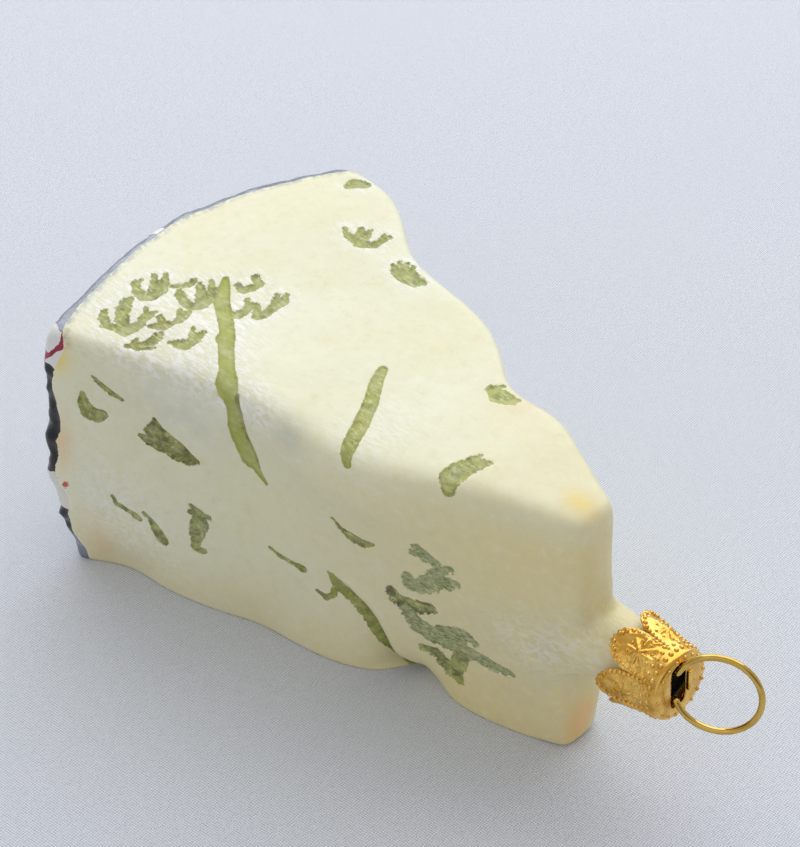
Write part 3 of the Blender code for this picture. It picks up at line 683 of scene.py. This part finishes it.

# Soft patches of other paint, and of grey painted shade in the hollows: the strength, centre and reach of
# each spot, and what lies there besides.
patches = {
    "scuffs": [
        (1.3, (-27, -20, 46), (8, 5, 3)), (1.2, (-23, -13, 46), (6, 5, 3)), (1.0, (-14, -19, 45), (6, 3, 2)),
        (1.2, (-5.5, -18.6, 44), (3, 2, 2.5)), (0.35, (47, -2, 23), (5, 6, 5)),
        (0.45, (37, -6, 20), (5, 3, 4)), (0.5, (12, -11, 45), (4, 6, 3)),
        (0.6, (-30, -26.5, 17), (5, 3, 5)), (0.4, (-24, -25, 8), (6, 3, 4)),
    ],
    "blush": [
        (0.5, (41.6, -1.9, 44.9), (2.2, 1.6, 2)), (0.25, (45, -5, 6), (2.6, 2.2, 5)),
        (0.5, (-32.5, -28, 4.5), (2, 2, 4)), (0.7, (-36.5, -30, 25.5), (1.6, 1.6, 3.5)),
        (0.25, (22, 7, 45), (3, 3, 2)),
    ],
    "butter": [(1.3, (-36, -29, 42), (1.5, 1.5, 2.2)), (0.9, (41.3, -1.8, 45.2), (1.5, 1.1, 2))],
    "red_speck": [(1.5, (-36.6, -30.2, 16.8), (1.2, 1.2, 1.6))],
    # grey-blue painted shade in the hollows of the near side and beside the tip
    "shade_in_hollows": [
        (0.7, (1.6, -18, 42.6), (2.4, 2, 1.8)), (0.4, (-18, -22, 38), (9, 4, 4)),
        (0.35, (40, -6, 18), (8, 4, 9)),
    ],
    "warmth": [(0.9, (48, 0, 24), (7, 8, 8))],
    "peach": [],
}
round_marks = 0.8 * np.exp(-((np.maximum(mark_gap, 0) / 1.3) ** 2))
halo_of_leaves = round_marks * (skin[:, 0] < -4) * (skin[:, 2] > 42)
warm_tip = 0.75 * eased(skin[:, 0], -20.0, 48.0) * (1 - eased(skin[:, 2], 38.0, 46.0))
warm_tip += 0.3 * eased(skin[:, 0], 5.0, 45.0)
warm_foot = 0.35 * (1 - eased(skin[:, 2], 0.0, 14.0))
peach_foot = 0.85 * eased(spot((44.9, -1.4, 4.2), (1.7, 3.2, 4.6)), 0.2, 0.85)
besides = {"scuffs": halo_of_leaves, "warmth": warm_tip + warm_foot, "peach": peach_foot}
for name, spots in patches.items():
    laid_on = sum((share * spot(centre, reach) for share, centre, reach in spots), besides.get(name, 0))
    painted(plain, name, np.clip(laid_on, 0, 1))


# The bore of the neck, silvered inside; its inside is painted near black, as painted shade deep in the bore.
glass = shown("glass_body", plain)
dropped(blank)
bore_profile = [(bore_radius, 2.0), (bore_radius, -bore_depth)]
bore = finished("bore", *turned(bore_profile, bore_steps, cap_face, neck_turn))
faced_outwards(bore)
for name in ("leaf_gap", "foil_gap"):
    painted(bore.data, name, np.full(len(bore.data.vertices), 3.0))
bored = glass.modifiers.new("bore", "BOOLEAN")
bored.operation = "DIFFERENCE"
bored.solver = "EXACT"
bored.object = bore
applied(glass)
dropped(bore)
plain = glass.data
neck_axis = np.array(neck_turn @ Vector((0, 0, 1)))
from_cap = places(plain) - cap_face
in_bore = from_cap @ neck_axis
off_axis = np.linalg.norm(from_cap - in_bore[:, None] * neck_axis, axis=1)
inside = (off_axis < bore_radius + 0.02) & (in_bore < -1.5) & (in_bore > -bore_depth - 0.02)
painted(plain, "inside_neck", inside)


# Cream lacquer over silvered glass, brushed on by hand: warm patches, grey painted shade in the hollows, dry
# white scuffs, olive in the marks of the mould darkened by painted shade in the pit, the fold and along the
# vein, painted shade near black inside the neck, and on the rind silver foil with plain printed fields.
def srgb(*seen):
    """A colour as a camera shows it, from 0 to 255, made linear."""
    shares = [value / 255 for value in seen]
    return (*(c / 12.92 if c <= 0.04 else ((c + 0.055) / 1.055) ** 2.4 for c in shares), 1.0)


def put(tree, kind, inputs=None, **settings):
    """A new node. An input is a value, or a socket to link."""
    made = tree.nodes.new(kind)
    for name, value in settings.items():
        setattr(made, name, value)
    for name, value in (inputs or {}).items():
        if isinstance(value, bpy.types.NodeSocket):
            tree.links.new(value, made.inputs[name])
        else:
            made.inputs[name].default_value = value
    return made


def sums(tree, operation, first, second=0.0, third=0.0):
    return put(tree, "ShaderNodeMath", {0: first, 1: second, 2: third}, operation=operation).outputs[0]


def times(tree, first, *others):
    for other in others:
        first = sums(tree, "MULTIPLY", first, other)
    return first


def ranged(tree, value, low, high, to_low=0.0, to_high=1.0, smooth=True):
    made = put(
        tree,
        "ShaderNodeMapRange",
        {"Value": value, "From Min": low, "From Max": high, "To Min": to_low, "To Max": to_high},
        interpolation_type="SMOOTHSTEP" if smooth else "LINEAR",
    )
    return made.outputs["Result"]


def blended(tree, share, first, second):
    return put(tree, "ShaderNodeMix", {0: share, 6: first, 7: second}, data_type="RGBA").outputs[2]


def grain(tree, place, size, detail=3.0, roughness=0.5, distortion=0.0):
    """Noise between 0 and 1 with lumps of about that size in millimetres."""
    wanted = {"Scale": 1 / (size * MM), "Detail": detail, "Roughness": roughness, "Distortion": distortion}
    return put(tree, "ShaderNodeTexNoise", {"Vector": place, **wanted}).outputs["Fac"]


def placed(tree, place, turn, stretch=(1.0, 1.0, 1.0)):
    return put(tree, "ShaderNodeMapping", {"Vector": place, "Rotation": turn, "Scale": stretch}).outputs[0]


def bumped(tree, shader, height, strength, distance):
    bump = put(tree, "ShaderNodeBump", {"Height": height, "Strength": strength, "Distance": distance})
    tree.links.new(bump.outputs[0], shader.inputs["Normal"])


def read(tree, name):
    return put(tree, "ShaderNodeAttribute", attribute_name=name).outputs["Fac"]


def new_material(name):
    made = bpy.data.materials.new(name)
    made.use_nodes = True
    tree = made.node_tree
    return made, tree, tree.nodes["Principled BSDF"], put(tree, "ShaderNodeTexCoord").outputs["Object"]


paint = {
    "cream": srgb(233, 231, 197), "pale cream": srgb(235, 235, 208), "buff": srgb(231, 225, 172),
    "warm cream": srgb(235, 222, 166), "grey shade": srgb(196, 202, 192), "light speckle": srgb(243, 243, 222),
    "dark speckle": srgb(220, 214, 166), "dry white": srgb(250, 251, 244), "peach": srgb(248, 198, 122),
    "blush": srgb(236, 196, 138), "butter": srgb(238, 220, 138), "red": srgb(206, 84, 74),
    "grey olive": srgb(124, 140, 88), "olive": srgb(168, 175, 74), "golden olive": srgb(152, 146, 52),
    "light olive": srgb(186, 188, 112), "olive rim": srgb(130, 138, 66), "olive blotch": srgb(116, 126, 44),
    "pale wash": srgb(208, 211, 138), "dark olive": srgb(56, 66, 6), "worn olive": srgb(206, 210, 174),
    "smudge": srgb(150, 156, 160), "crimson": srgb(158, 28, 62), "shade in the neck": srgb(34, 32, 30),
}


def coated(tree, ground, coats):
    """The ground colour under coats of paint, each with its share of cover, from the first to the last."""
    for share, coat in coats:
        ground = blended(tree, share, ground, paint[coat])
    return ground


lacquer, tree, shader, place = new_material("painted_glass_lacquer")
wide = grain(tree, place, 22, 2)
patchy = grain(tree, place, 6, 4, 0.6)
fine_grain = grain(tree, place, 1.1, 3, 0.6)
speckle = grain(tree, place, 1.8, 5, 0.72)
brushed = placed(tree, place, (0.3, 0.2, 0.9), (1.0, 3.2, 2.0))
streaks = grain(tree, brushed, 1.6, 5, 0.65, 0.6)
scuffed = times(tree, read(tree, "scuffs"), ranged(tree, streaks, 0.4, 0.6))
red_speck = times(tree, read(tree, "red_speck"), fine_grain)
cream = blended(tree, ranged(tree, wide, 0.35, 0.68), paint["cream"], paint["pale cream"])
cream_coats = [
    (ranged(tree, patchy, 0.52, 0.8, 0.0, 0.4), "buff"),
    (read(tree, "warmth"), "warm cream"),
    # grey-blue painted shade in the hollows
    (times(tree, read(tree, "shade_in_hollows"), ranged(tree, patchy, 0.35, 0.6, 0.3, 0.9)), "grey shade"),
    (ranged(tree, speckle, 0.5, 0.78, 0.0, 0.5), "light speckle"),
    (ranged(tree, speckle, 0.5, 0.24, 0.0, 0.5), "dark speckle"),
    (times(tree, scuffed, 0.9), "dry white"),
    (read(tree, "peach"), "peach"),
    (times(tree, read(tree, "blush"), ranged(tree, fine_grain, 0.25, 0.6, 0.55, 1.0)), "blush"),
    (read(tree, "butter"), "butter"),
    (ranged(tree, red_speck, 0.5, 0.62), "red"),
]
cream = coated(tree, cream, cream_coats)

tearing = ranged(tree, grain(tree, place, 0.8, 3, 0.75), 0.3, 0.7, -1, 1, smooth=False)
jagged = sums(tree, "ADD", read(tree, "leaf_gap"), times(tree, read(tree, "leaf_torn"), tearing))
leaf = ranged(tree, jagged, 0.07, -0.07)
tone = read(tree, "leaf_tone")
unevenly = ranged(tree, read(tree, "leaf_sponging"), 0.0, 0.14, 0.3, 1.0)
blotches = ranged(tree, grain(tree, place, 2.0, 3, 0.6), 0.47, 0.64, 0.0, 0.75)
washes = ranged(tree, grain(tree, brushed, 1.8, 4, 0.7), 0.5, 0.62, 0.0, 0.75)
pooling = ranged(tree, grain(tree, place, 1.5, 3, 0.7), 0.4, 0.6, 0.2, 1.7)
pools_and_shade = times(tree, read(tree, "leaf_dark_and_shade"), pooling)
sponge_place = placed(tree, place, (0, 0.7, 0.3), (1.0, 1.4, 2.4))
sponge = ranged(tree, grain(tree, sponge_place, 0.7, 4, 0.8), 0.44, 0.56)
olive = blended(tree, ranged(tree, tone, 0.1, 0.6), paint["grey olive"], paint["olive"])
olive_coats = [
    (ranged(tree, tone, 0.65, 1.0), "golden olive"),
    (times(tree, ranged(tree, jagged, -0.15, -0.75), 0.25), "light olive"),
    (times(tree, ranged(tree, jagged, -0.4, -0.1), ranged(tree, patchy, 0.42, 0.62, 0.0, 0.5)), "olive rim"),
    (times(tree, blotches, unevenly), "olive blotch"),
    (times(tree, washes, unevenly), "pale wash"),
    # darker olive where the paint pools, with painted shade in the pit's pocket and the fold's crevice
    (sums(tree, "MINIMUM", pools_and_shade, 1.0), "dark olive"),
    (times(tree, read(tree, "leaf_sponging"), sponge, 0.7), "worn olive"),
]
olive = coated(tree, olive, olive_coats)
thin = ranged(tree, grain(tree, place, 2.2, 3, 0.6), 0.4, 0.66, 1.0, 0.84)
colour = blended(tree, times(tree, leaf, thin), cream, olive)

# where each printed field of the foil begins, as a share of the wedge's height, its colour, and how bare its
# silver is
printed_fields = [
    (0.0, (150, 152, 160), 1.0), (0.10, (16, 16, 20), 0.0), (0.24, (228, 226, 214), 0.0),
    (0.41, (14, 14, 18), 0.0), (0.83, (232, 232, 230), 0.0), (0.965, (136, 142, 154), 0.45),
]
height = put(tree, "ShaderNodeSeparateXYZ", {"Vector": place}).outputs["Z"]
wobble = ranged(tree, grain(tree, place, 9, 3, 0.6), 0.3, 0.7, -0.0012, 0.0012, smooth=False)
level = sums(tree, "DIVIDE", sums(tree, "ADD", height, wobble), 0.0466)
ramps = []
for field_values in (
    [srgb(*colour_seen) for _, colour_seen, _ in printed_fields],
    [(bareness, bareness, bareness, 1) for _, _, bareness in printed_fields],
):
    ramp = put(tree, "ShaderNodeValToRGB", {"Fac": level})
    ramp.color_ramp.interpolation = "CONSTANT"
    while len(ramp.color_ramp.elements) < len(printed_fields):
        ramp.color_ramp.elements.new(0.5)
    for element, (begins, _, _), value in zip(ramp.color_ramp.elements, printed_fields, field_values):
        element.position = begins
        element.color = value
    ramps.append(ramp.outputs["Color"])
ragged = ranged(tree, streaks, 0.3, 0.7, -0.12, 0.12, smooth=False)
foil_edge = sums(tree, "ADD", read(tree, "foil_gap"), ragged)
foil = ranged(tree, foil_edge, 0.06, -0.06)
by_foil = times(tree, ranged(tree, foil_edge, 1.5, 0.0), ranged(tree, height, 0.0425, 0.045, 0.0, 0.75))
slant = times(tree, sums(tree, "MAXIMUM", foil_edge, -2.0), -0.05)
stripe_level = sums(tree, "SUBTRACT", sums(tree, "ADD", level, slant), 0.085)
stripe = sums(tree, "COMPARE", stripe_level, 0.865, 0.023)
colour = coated(tree, colour, [(times(tree, by_foil, ranged(tree, fine_grain, 0.35, 0.6)), "smudge")])
colour = blended(tree, foil, colour, coated(tree, ramps[0], [(stripe, "crimson")]))
# the inside of the bore painted near black, as painted shade
colour = coated(tree, colour, [(read(tree, "inside_neck"), "shade in the neck")])
sheen = sums(tree, "ADD", ranged(tree, patchy, 0.3, 0.7, 0.34, 0.46), times(tree, leaf, 0.08))
relief = sums(tree, "ADD", times(tree, scuffed, 0.6), times(tree, fine_grain, 0.35))
relief = sums(tree, "ADD", relief, times(tree, grain(tree, place, 1.3, 4, 0.7), leaf, 0.8))
tree.links.new(colour, shader.inputs["Base Color"])
tree.links.new(times(tree, foil, ramps[1]), shader.inputs["Metallic"])
tree.links.new(sums(tree, "SUBTRACT", sheen, times(tree, foil, 0.18)), shader.inputs["Roughness"])
bumped(tree, shader, relief, 0.35, 0.0003)
shader.inputs["Coat Weight"].default_value = 0.15
shader.inputs["Specular IOR Level"].default_value = 0.35
shader.inputs["Coat Roughness"].default_value = 0.22


def dressed(made, material):
    """Gives the mesh one material and smooth shading."""
    made.data.materials.clear()
    made.data.materials.append(material)
    for polygon in made.data.polygons:
        polygon.use_smooth = True


dressed(glass, lacquer)
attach(glass, "root")
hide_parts("glass_wedge")


# The cap: thin pressed sheet, gold in colour, a cup with a slotted face whose wall is cut into six petals. A
# star is embossed on each petal, and beads run along its edges and round the rim.
cap_face_radius, cap_rim_radius = 4.75, 5.4
cap_sheet = 0.3
face_dome = 0.12
rim_depth, collar_depth, petal_tip_depth = 0.7, 2.0, 9.3
petal_tip_radius = 6.9
petals = 6
petal_bluntness = 0.24
scallops, scallop_height = 9, 0.13
petal_lift, wrinkle_height = 0.16, 0.16
columns_in_petal = 44
face_rows, bend_rows, petal_rows = 12, 5, 60
slot_length, slot_width, slot_squareness = 7.5, 3.1, 0.4
slot_centre = (-0.5, -0.4)
lip_length, lip_width, lip_height, lip_rounding = 3.4, 0.7, 0.45, 0.16
star_at, star_reach, star_rays, star_height, star_ray_half = 5.0, 2.3, 8, 0.42, 0.3


def hem(turn):
    """Depth of the hem at a turn given in whole petals, with small scallops."""
    across = turn % 1.0
    petal_length = petal_tip_depth - 0.15 - collar_depth
    plain_hem = collar_depth + petal_length * math.sin(math.pi * across) ** petal_bluntness
    return plain_hem + scallop_height * math.sin(across * math.tau * scallops) * math.sin(math.pi * across)


def wall_radius(depth):
    share = (depth - rim_depth) / (petal_tip_depth - rim_depth)
    return cap_rim_radius + (petal_tip_radius - cap_rim_radius) * max(share, 0) ** 1.7


def star(across, depth):
    """Height of the embossed star, across from a petal's middle line and down from the face."""
    along = depth - star_at
    distance = math.hypot(across, along)
    if distance > star_reach:
        return 0.0
    angle = (math.atan2(along, across) / math.tau * star_rays + 0.5) % 1.0 - 0.5
    off_ray = abs(math.sin(angle * math.tau / star_rays)) * distance
    return star_height * max(0.0, 1 - off_ray / star_ray_half) * (1 - distance / star_reach) ** 0.6


def wrinkle(c, s, depth):
    """Uneven wrinkles of the thin sheet, with finer ones on them."""
    broad = noise.noise(Vector((c, s, 0)) * 5.2 + Vector((0, 0, depth * 1.1)))
    return broad + 0.6 * noise.noise(Vector((c, s, 2)) * 12 + Vector((0, 0, depth * 2.4)))


def cap_point(row, turn):
    """A point of the sheet: across the slotted face, round its bend, then down a petal to the hem."""
    angle = turn / petals * math.tau
    c, s = math.cos(angle), math.sin(angle)
    if row < face_rows:
        share = row / (face_rows - 1)
        slot_x = slot_centre[0] + slot_length / 2 * math.copysign(abs(c) ** slot_squareness, c)
        slot_y = slot_centre[1] + slot_width / 2 * math.copysign(abs(s) ** slot_squareness, s)
        between = Vector((slot_x, slot_y)).lerp(Vector((c, s)) * cap_face_radius, share)
        return between.x, between.y, -face_dome * (share * 2 - 1) ** 2
    if row < face_rows + bend_rows:
        bend = (row - face_rows + 1) / bend_rows * math.pi / 2
        radius = cap_face_radius + (cap_rim_radius - cap_face_radius) * math.sin(bend)
        return radius * c, radius * s, -face_dome - (rim_depth - face_dome) * (1 - math.cos(bend))
    depth = rim_depth + (hem(turn) - rim_depth) * (row - face_rows - bend_rows + 1) / (petal_rows + 1)
    radius = wall_radius(depth)
    across = (turn % 1.0 - 0.5) * math.tau / petals * radius
    free = max(0.0, min(1.0, (depth - collar_depth) / 2))
    lift = petal_lift * free * (across / 3) ** 2 * (1 if int(turn) % 2 else -0.6)
    radius += lift + star(across, depth) + wrinkle_height * free * wrinkle(c, s, depth)
    return radius * c, radius * s, -depth


rows, columns = face_rows + bend_rows + petal_rows + 1, petals * columns_in_petal
cap_points = [cap_point(row, column / columns_in_petal) for row in range(rows) for column in range(columns)]
cap_faces = []
for above in range(0, (rows - 1) * columns, columns):
    for here in range(columns):
        beside, below = (here + 1) % columns, above + columns
        cap_faces.append((above + here, below + here, below + beside, above + beside))
cap = finished("petal_cap_sheet", [cap_face + neck_turn @ Vector(point) for point in cap_points], cap_faces)
faced_outwards(cap, merged_within=0.01, front=neck_turn @ Vector((0, 0, 1)), front_faces=columns * 4)
sheet = cap.modifiers.new("sheet", "SOLIDIFY")
sheet.thickness = cap_sheet * MM
sheet.offset = -1
applied(cap)

# the small lip of turned-up sheet beside the slot
lip = bmesh.new()
lip_at = (slot_centre[0] + 0.2, slot_centre[1] + slot_width / 2 + lip_width / 2, lip_height / 2 - 0.1)
lip_box = Matrix.Translation(lip_at) @ Matrix.Diagonal((lip_length, lip_width, lip_height + 0.2, 1))
bmesh.ops.create_cube(lip, size=1, matrix=lip_box)
bmesh.ops.bevel(lip, geom=lip.edges[:], offset=lip_rounding, segments=4, profile=0.5, affect="EDGES")
bmesh.ops.transform(lip, matrix=Matrix.Translation(cap_face) @ neck_turn.to_4x4(), verts=lip.verts)
bmesh.ops.scale(lip, vec=(MM, MM, MM), verts=lip.verts)
lip.from_mesh(cap.data)
lip.to_mesh(cap.data)
lip.free()

# Where the beads sit: along both edges of each petal, round its star, in two rows round the rim, and round
# the face. Each seat is its turn in petals, its depth and its size.
bead_radius, bead_spacing, bead_inset = 0.38, 0.82, 0.33
star_beads, star_bead_radius, star_bead_across, star_bead_along = 8, 0.27, 1.85, 1.75
rim_beads_in_petal = 5
rim_rows = ((0.5, rim_depth + 0.75, 0.42), (1.0, rim_depth + 1.75, 0.36))
face_beads, face_bead_radius, face_bead_depth = 18, 0.34, 0.16
seats = []
for petal in range(petals):
    for side in (-1, 1):
        depth = collar_depth + 0.9
        while depth < petal_tip_depth - 0.3:
            across = 0.5
            while hem(petal + 0.5 + side * across) < depth + bead_inset and across > 0.02:
                across -= 0.004
            across -= 0.035
            seats.append((petal + 0.5 + side * across, depth, bead_radius))
            depth += bead_spacing * (0.8 if across > 0.3 else 0.35)
    for step in range(star_beads):
        angle = math.tau * (step + 0.5) / star_beads
        depth = star_at + star_bead_along * math.sin(angle)
        across = star_bead_across * math.cos(angle) / (math.tau / petals * wall_radius(depth))
        seats.append((petal + 0.5 + across, depth, star_bead_radius))
    for step in range(rim_beads_in_petal):
        for shift, depth, size in rim_rows:
            seats.append((petal + (step + shift) / rim_beads_in_petal, depth, size))
bead_points, bead_sizes = [], []
for turn, depth, size in seats:
    angle = turn / petals * math.tau
    radius = wall_radius(depth) - 0.1
    on_wall = Vector((radius * math.cos(angle), radius * math.sin(angle), -depth))
    bead_points.append(cap_face + neck_turn @ on_wall)
    bead_sizes.append(size)
for step in range(face_beads):
    angle = math.tau * (step + 0.5) / face_beads
    round_face = Vector((math.cos(angle), math.sin(angle), 0)) * cap_face_radius
    bead_points.append(cap_face + neck_turn @ (round_face - Vector((0, 0, face_bead_depth))))
    bead_sizes.append(face_bead_radius)

metal_wear = bpy.data.node_groups.new("metal_wear", "ShaderNodeTree")
for name, kind in (("Place", "NodeSocketVector"), ("Grains per metre", "NodeSocketFloat")):
    metal_wear.interface.new_socket(name=name, in_out="INPUT", socket_type=kind)
for name in ("Tint", "Rough", "Height"):
    metal_wear.interface.new_socket(name=name, in_out="OUTPUT", socket_type="NodeSocketFloat")
given = metal_wear.nodes.new("NodeGroupInput").outputs
result = metal_wear.nodes.new("NodeGroupOutput").inputs
speck_inputs = {"Vector": given["Place"], "Scale": given["Grains per metre"], "Detail": 4.0, "Roughness": 0.6}
speck = put(metal_wear, "ShaderNodeTexNoise", speck_inputs).outputs["Fac"]
cloud_inputs = {"Vector": given["Place"], "Scale": 420.0, "Detail": 2.0}
cloud = put(metal_wear, "ShaderNodeTexNoise", cloud_inputs).outputs["Fac"]
metal_wear.links.new(ranged(metal_wear, cloud, 0.35, 0.65), result["Tint"])
metal_wear.links.new(ranged(metal_wear, speck, 0.3, 0.7), result["Rough"])
metal_wear.links.new(speck, result["Height"])


def worn_metal(name, grains_per_metre, deep, bright, polished, dull, relief=0.0):
    """A metal that varies in tint between deep and bright, and in roughness between polished and dull."""
    made, tree, shader, place = new_material(name)
    wear = put(tree, "ShaderNodeGroup", node_tree=metal_wear)
    tree.links.new(place, wear.inputs["Place"])
    wear.inputs["Grains per metre"].default_value = grains_per_metre
    tree.links.new(blended(tree, wear.outputs["Tint"], deep, bright), shader.inputs["Base Color"])
    tree.links.new(ranged(tree, wear.outputs["Rough"], 0, 1, polished, dull), shader.inputs["Roughness"])
    shader.inputs["Metallic"].default_value = 1.0
    if relief:
        bumped(tree, shader, wear.outputs["Height"], relief, 0.0001)
    return made


def geometry_tree(name, takes, gives, sizes):
    """A Geometry Nodes tree from one mesh to another, its inputs, and the identifiers of its named sizes."""
    tree = bpy.data.node_groups.new(name, "GeometryNodeTree")
    tree.interface.new_socket(name=takes, in_out="INPUT", socket_type="NodeSocketGeometry")
    keys = []
    for size, kind in sizes:
        keys.append(tree.interface.new_socket(name=size, in_out="INPUT", socket_type=kind).identifier)
    tree.interface.new_socket(name=gives, in_out="OUTPUT", socket_type="NodeSocketGeometry")
    return tree, tree.nodes.new("NodeGroupInput").outputs, keys


def grown(made, tree, shape, material, sizes):
    """Ends the tree in real, smooth faces of one material, and runs it on the object with those sizes."""
    real = put(tree, "GeometryNodeRealizeInstances", {"Geometry": shape})
    rounded = put(tree, "GeometryNodeSetShadeSmooth", {"Geometry": real.outputs["Geometry"]})
    finish_inputs = {"Geometry": rounded.outputs["Geometry"], "Material": material}
    finish = put(tree, "GeometryNodeSetMaterial", finish_inputs)
    tree.links.new(finish.outputs["Geometry"], tree.nodes.new("NodeGroupOutput").inputs[0])
    growth = made.modifiers.new(tree.name, "NODES")
    growth.node_group = tree
    for key, value in sizes.items():
        growth[key] = value
    applied(made)


gold = worn_metal("gold_pressed_sheet", 3200.0, srgb(222, 170, 76), srgb(242, 198, 106), 0.18, 0.3, 0.15)
beads = finished("petal_cap_beads", bead_points, [])
painted(beads.data, "bead_size", bead_sizes)
bead_options = [("Roundness", "NodeSocketInt")]
beading, given, (roundness_key,) = geometry_tree("beading", "Seats", "Beads", bead_options)
ball = put(beading, "GeometryNodeMeshIcoSphere", {"Radius": MM, "Subdivisions": given["Roundness"]})
size = put(beading, "GeometryNodeInputNamedAttribute", {"Name": "bead_size"}, data_type="FLOAT")
bead_inputs = {"Points": given["Seats"], "Instance": ball.outputs["Mesh"], "Scale": size.outputs["Attribute"]}
laid = put(beading, "GeometryNodeInstanceOnPoints", bead_inputs)
grown(beads, beading, laid.outputs["Instances"], gold, {roundness_key: 2})
dressed(cap, gold)
for piece in (cap, beads):
    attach(piece, "root")
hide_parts("petal_cap")
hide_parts("petal_cap")


# The hanger: one length of brass-coloured spring wire, bent into a ring whose two ends go through the slot
# and spring apart inside the neck.
wire_radius, wire_sides = 0.475, 20
ring_radius = 6.0
ring_centre = Vector((-0.43, 1.73, 4.87))
ring_yaw, ring_lean, ring_mouth = math.radians(27.5), math.radians(7.4), math.radians(23)
ring_steps, leg_steps = 150, 12
knee_spread, knee_depth = 2.2, 2.2
leg_spread, leg_depth, leg_across = 2.5, 9.5, -0.2
lean, slope = math.cos(ring_lean), math.sin(ring_lean)
outwards = Vector((0, math.sin(ring_yaw), math.cos(ring_yaw)))
upwards = Vector((-lean, slope * math.cos(ring_yaw), -slope * math.sin(ring_yaw)))
ring = []
for step in range(ring_steps + 1):
    angle = ring_mouth + (math.tau - 2 * ring_mouth) * step / ring_steps
    ring.append(ring_centre + ring_radius * (upwards * math.sin(angle) - outwards * math.cos(angle)))


def bent(points, steps):
    """A smooth curve through the points."""
    path = []
    for before, start, end, after in zip(points[:1] + points, points, points[1:], points[2:] + points[-1:]):
        for step in range(steps):
            t = step / steps
            pull = (2 * before - 5 * start + 4 * end - after) * t**2
            pull += (3 * start - before - 3 * end + after) * t**3
            path.append(0.5 * (2 * start + (end - before) * t + pull))
    return path + [points[-1]]


legs = []
for end, sign in ((ring[0], -1), (ring[-1], 1)):
    foot = Vector((sign * leg_spread, leg_across, -leg_depth))
    knee = Vector((slot_centre[0] + sign * knee_spread, end.y, -knee_depth))
    legs.append(bent([end, knee, (knee + foot) / 2, foot], leg_steps)[1:])
route = [cap_face + neck_turn @ point for point in legs[0][::-1] + ring + legs[1]]

brass = worn_metal("brass_spring_wire", 2200.0, srgb(204, 166, 80), srgb(218, 184, 98), 0.06, 0.12)
wire = finished("wire_ring_and_legs", route, [], lines=[(i, i + 1) for i in range(len(route) - 1)])
wire_sizes = [("Wire radius", "NodeSocketFloat"), ("Sides", "NodeSocketInt")]
drawing, given, (radius_key, sides_key) = geometry_tree("wire_drawing", "Route", "Wire", wire_sizes)
line = put(drawing, "GeometryNodeMeshToCurve", {"Mesh": given["Route"]}).outputs["Curve"]
section_inputs = {"Resolution": given["Sides"], "Radius": given["Wire radius"]}
section = put(drawing, "GeometryNodeCurvePrimitiveCircle", section_inputs).outputs["Curve"]
tube = put(drawing, "GeometryNodeCurveToMesh", {"Curve": line, "Profile Curve": section, "Fill Caps": True})
grown(wire, drawing, tube.outputs["Mesh"], brass, {radius_key: wire_radius * MM, sides_key: wire_sides})
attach(wire, "root")
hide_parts("wire_hanger")


# The cloth: a pale, finely woven cotton, flat on the table. Its threads run slantwise to the ornament and
# vary a little in thickness.
cloth_reach, cloth_drop = 4000, 0.05
thread = 0.52
weave_turn = math.radians(38)
corners = [(-1, -1), (1, -1), (1, 1), (-1, 1)]
cloth = finished("cloth", [(x * cloth_reach, y * cloth_reach, 0) for x, y in corners], [(0, 1, 2, 3)])
cloth.location.z = -cloth_drop * MM
weave, tree, shader, place = new_material("pale_woven_cloth")
turned_place = placed(tree, place, (0, 0, weave_turn))
parts = put(tree, "ShaderNodeSeparateXYZ", {"Vector": turned_place})
uneven = grain(tree, turned_place, 2.4, 4, 0.75)
threads = []
for axis, wander in (("X", 1.6), ("Y", 1.1)):
    turns = times(tree, parts.outputs[axis], math.tau / (thread * MM))
    off = ranged(tree, uneven, 0.3, 0.7, -wander, wander, smooth=False)
    threads.append(sums(tree, "SINE", sums(tree, "ADD", turns, off)))
slubs = ranged(tree, grain(tree, turned_place, 0.7, 3, 0.7), 0.35, 0.65, 0.35, 1.0)
weave_height = times(tree, *threads, slubs)
# The colour follows the weave's height: darker in the low places between the threads, as painted shade, and
# lightest on the raised threads.
raised = ranged(tree, weave_height, -1, 1, smooth=False)
tree.links.new(blended(tree, raised, srgb(169, 175, 193), srgb(247, 251, 255)), shader.inputs["Base Color"])
shader.inputs["Roughness"].default_value = 0.9
bumped(tree, shader, weave_height, 0.5, 0.00012)
cloth.data.materials.append(weave)


# The light: a wide window behind the ornament, the pale room in front, and the walls all round, which are
# darker on the camera's side.
def soft_light(name, place, size, power, colour):
    """A rectangular lamp that faces the ornament."""
    data = bpy.data.lights.new(name, "AREA")
    data.shape = "RECTANGLE"
    data.size, data.size_y = size
    data.energy = power
    data.color = colour
    light = bpy.data.objects.new(name, data)
    light.location = place
    light.rotation_euler = (Vector((0, 0, 0.02)) - light.location).to_track_quat("-Z", "Y").to_euler()
    bpy.context.scene.collection.objects.link(light)


soft_light("window", (-0.38, 0.48, 0.62), (1.5, 1.1), 8.1, (0.96, 0.98, 1.0))
soft_light("room", (0.38, -0.84, 0.5), (1.2, 1.2), 2.0, (1.0, 0.97, 0.92))
bright_wall, dim_wall, camera_way = (1.0, 0.99, 1.0, 1.0), (0.36, 0.34, 0.32, 1.0), (0.62, -0.70, -0.35)
walls = bpy.data.worlds.new("pale_room")
walls.use_nodes = True
tree = walls.node_tree
way = put(tree, "ShaderNodeTexCoord").outputs["Generated"]
facing_camera = put(tree, "ShaderNodeVectorMath", {0: way, 1: camera_way}, operation="DOT_PRODUCT")
towards_camera = facing_camera.outputs["Value"]
wall_colour = blended(tree, ranged(tree, towards_camera, -0.1, 0.8), bright_wall, dim_wall)
tree.links.new(wall_colour, tree.nodes["Background"].inputs["Color"])
tree.nodes["Background"].inputs["Strength"].default_value = 0.57
bpy.context.scene.world = walls
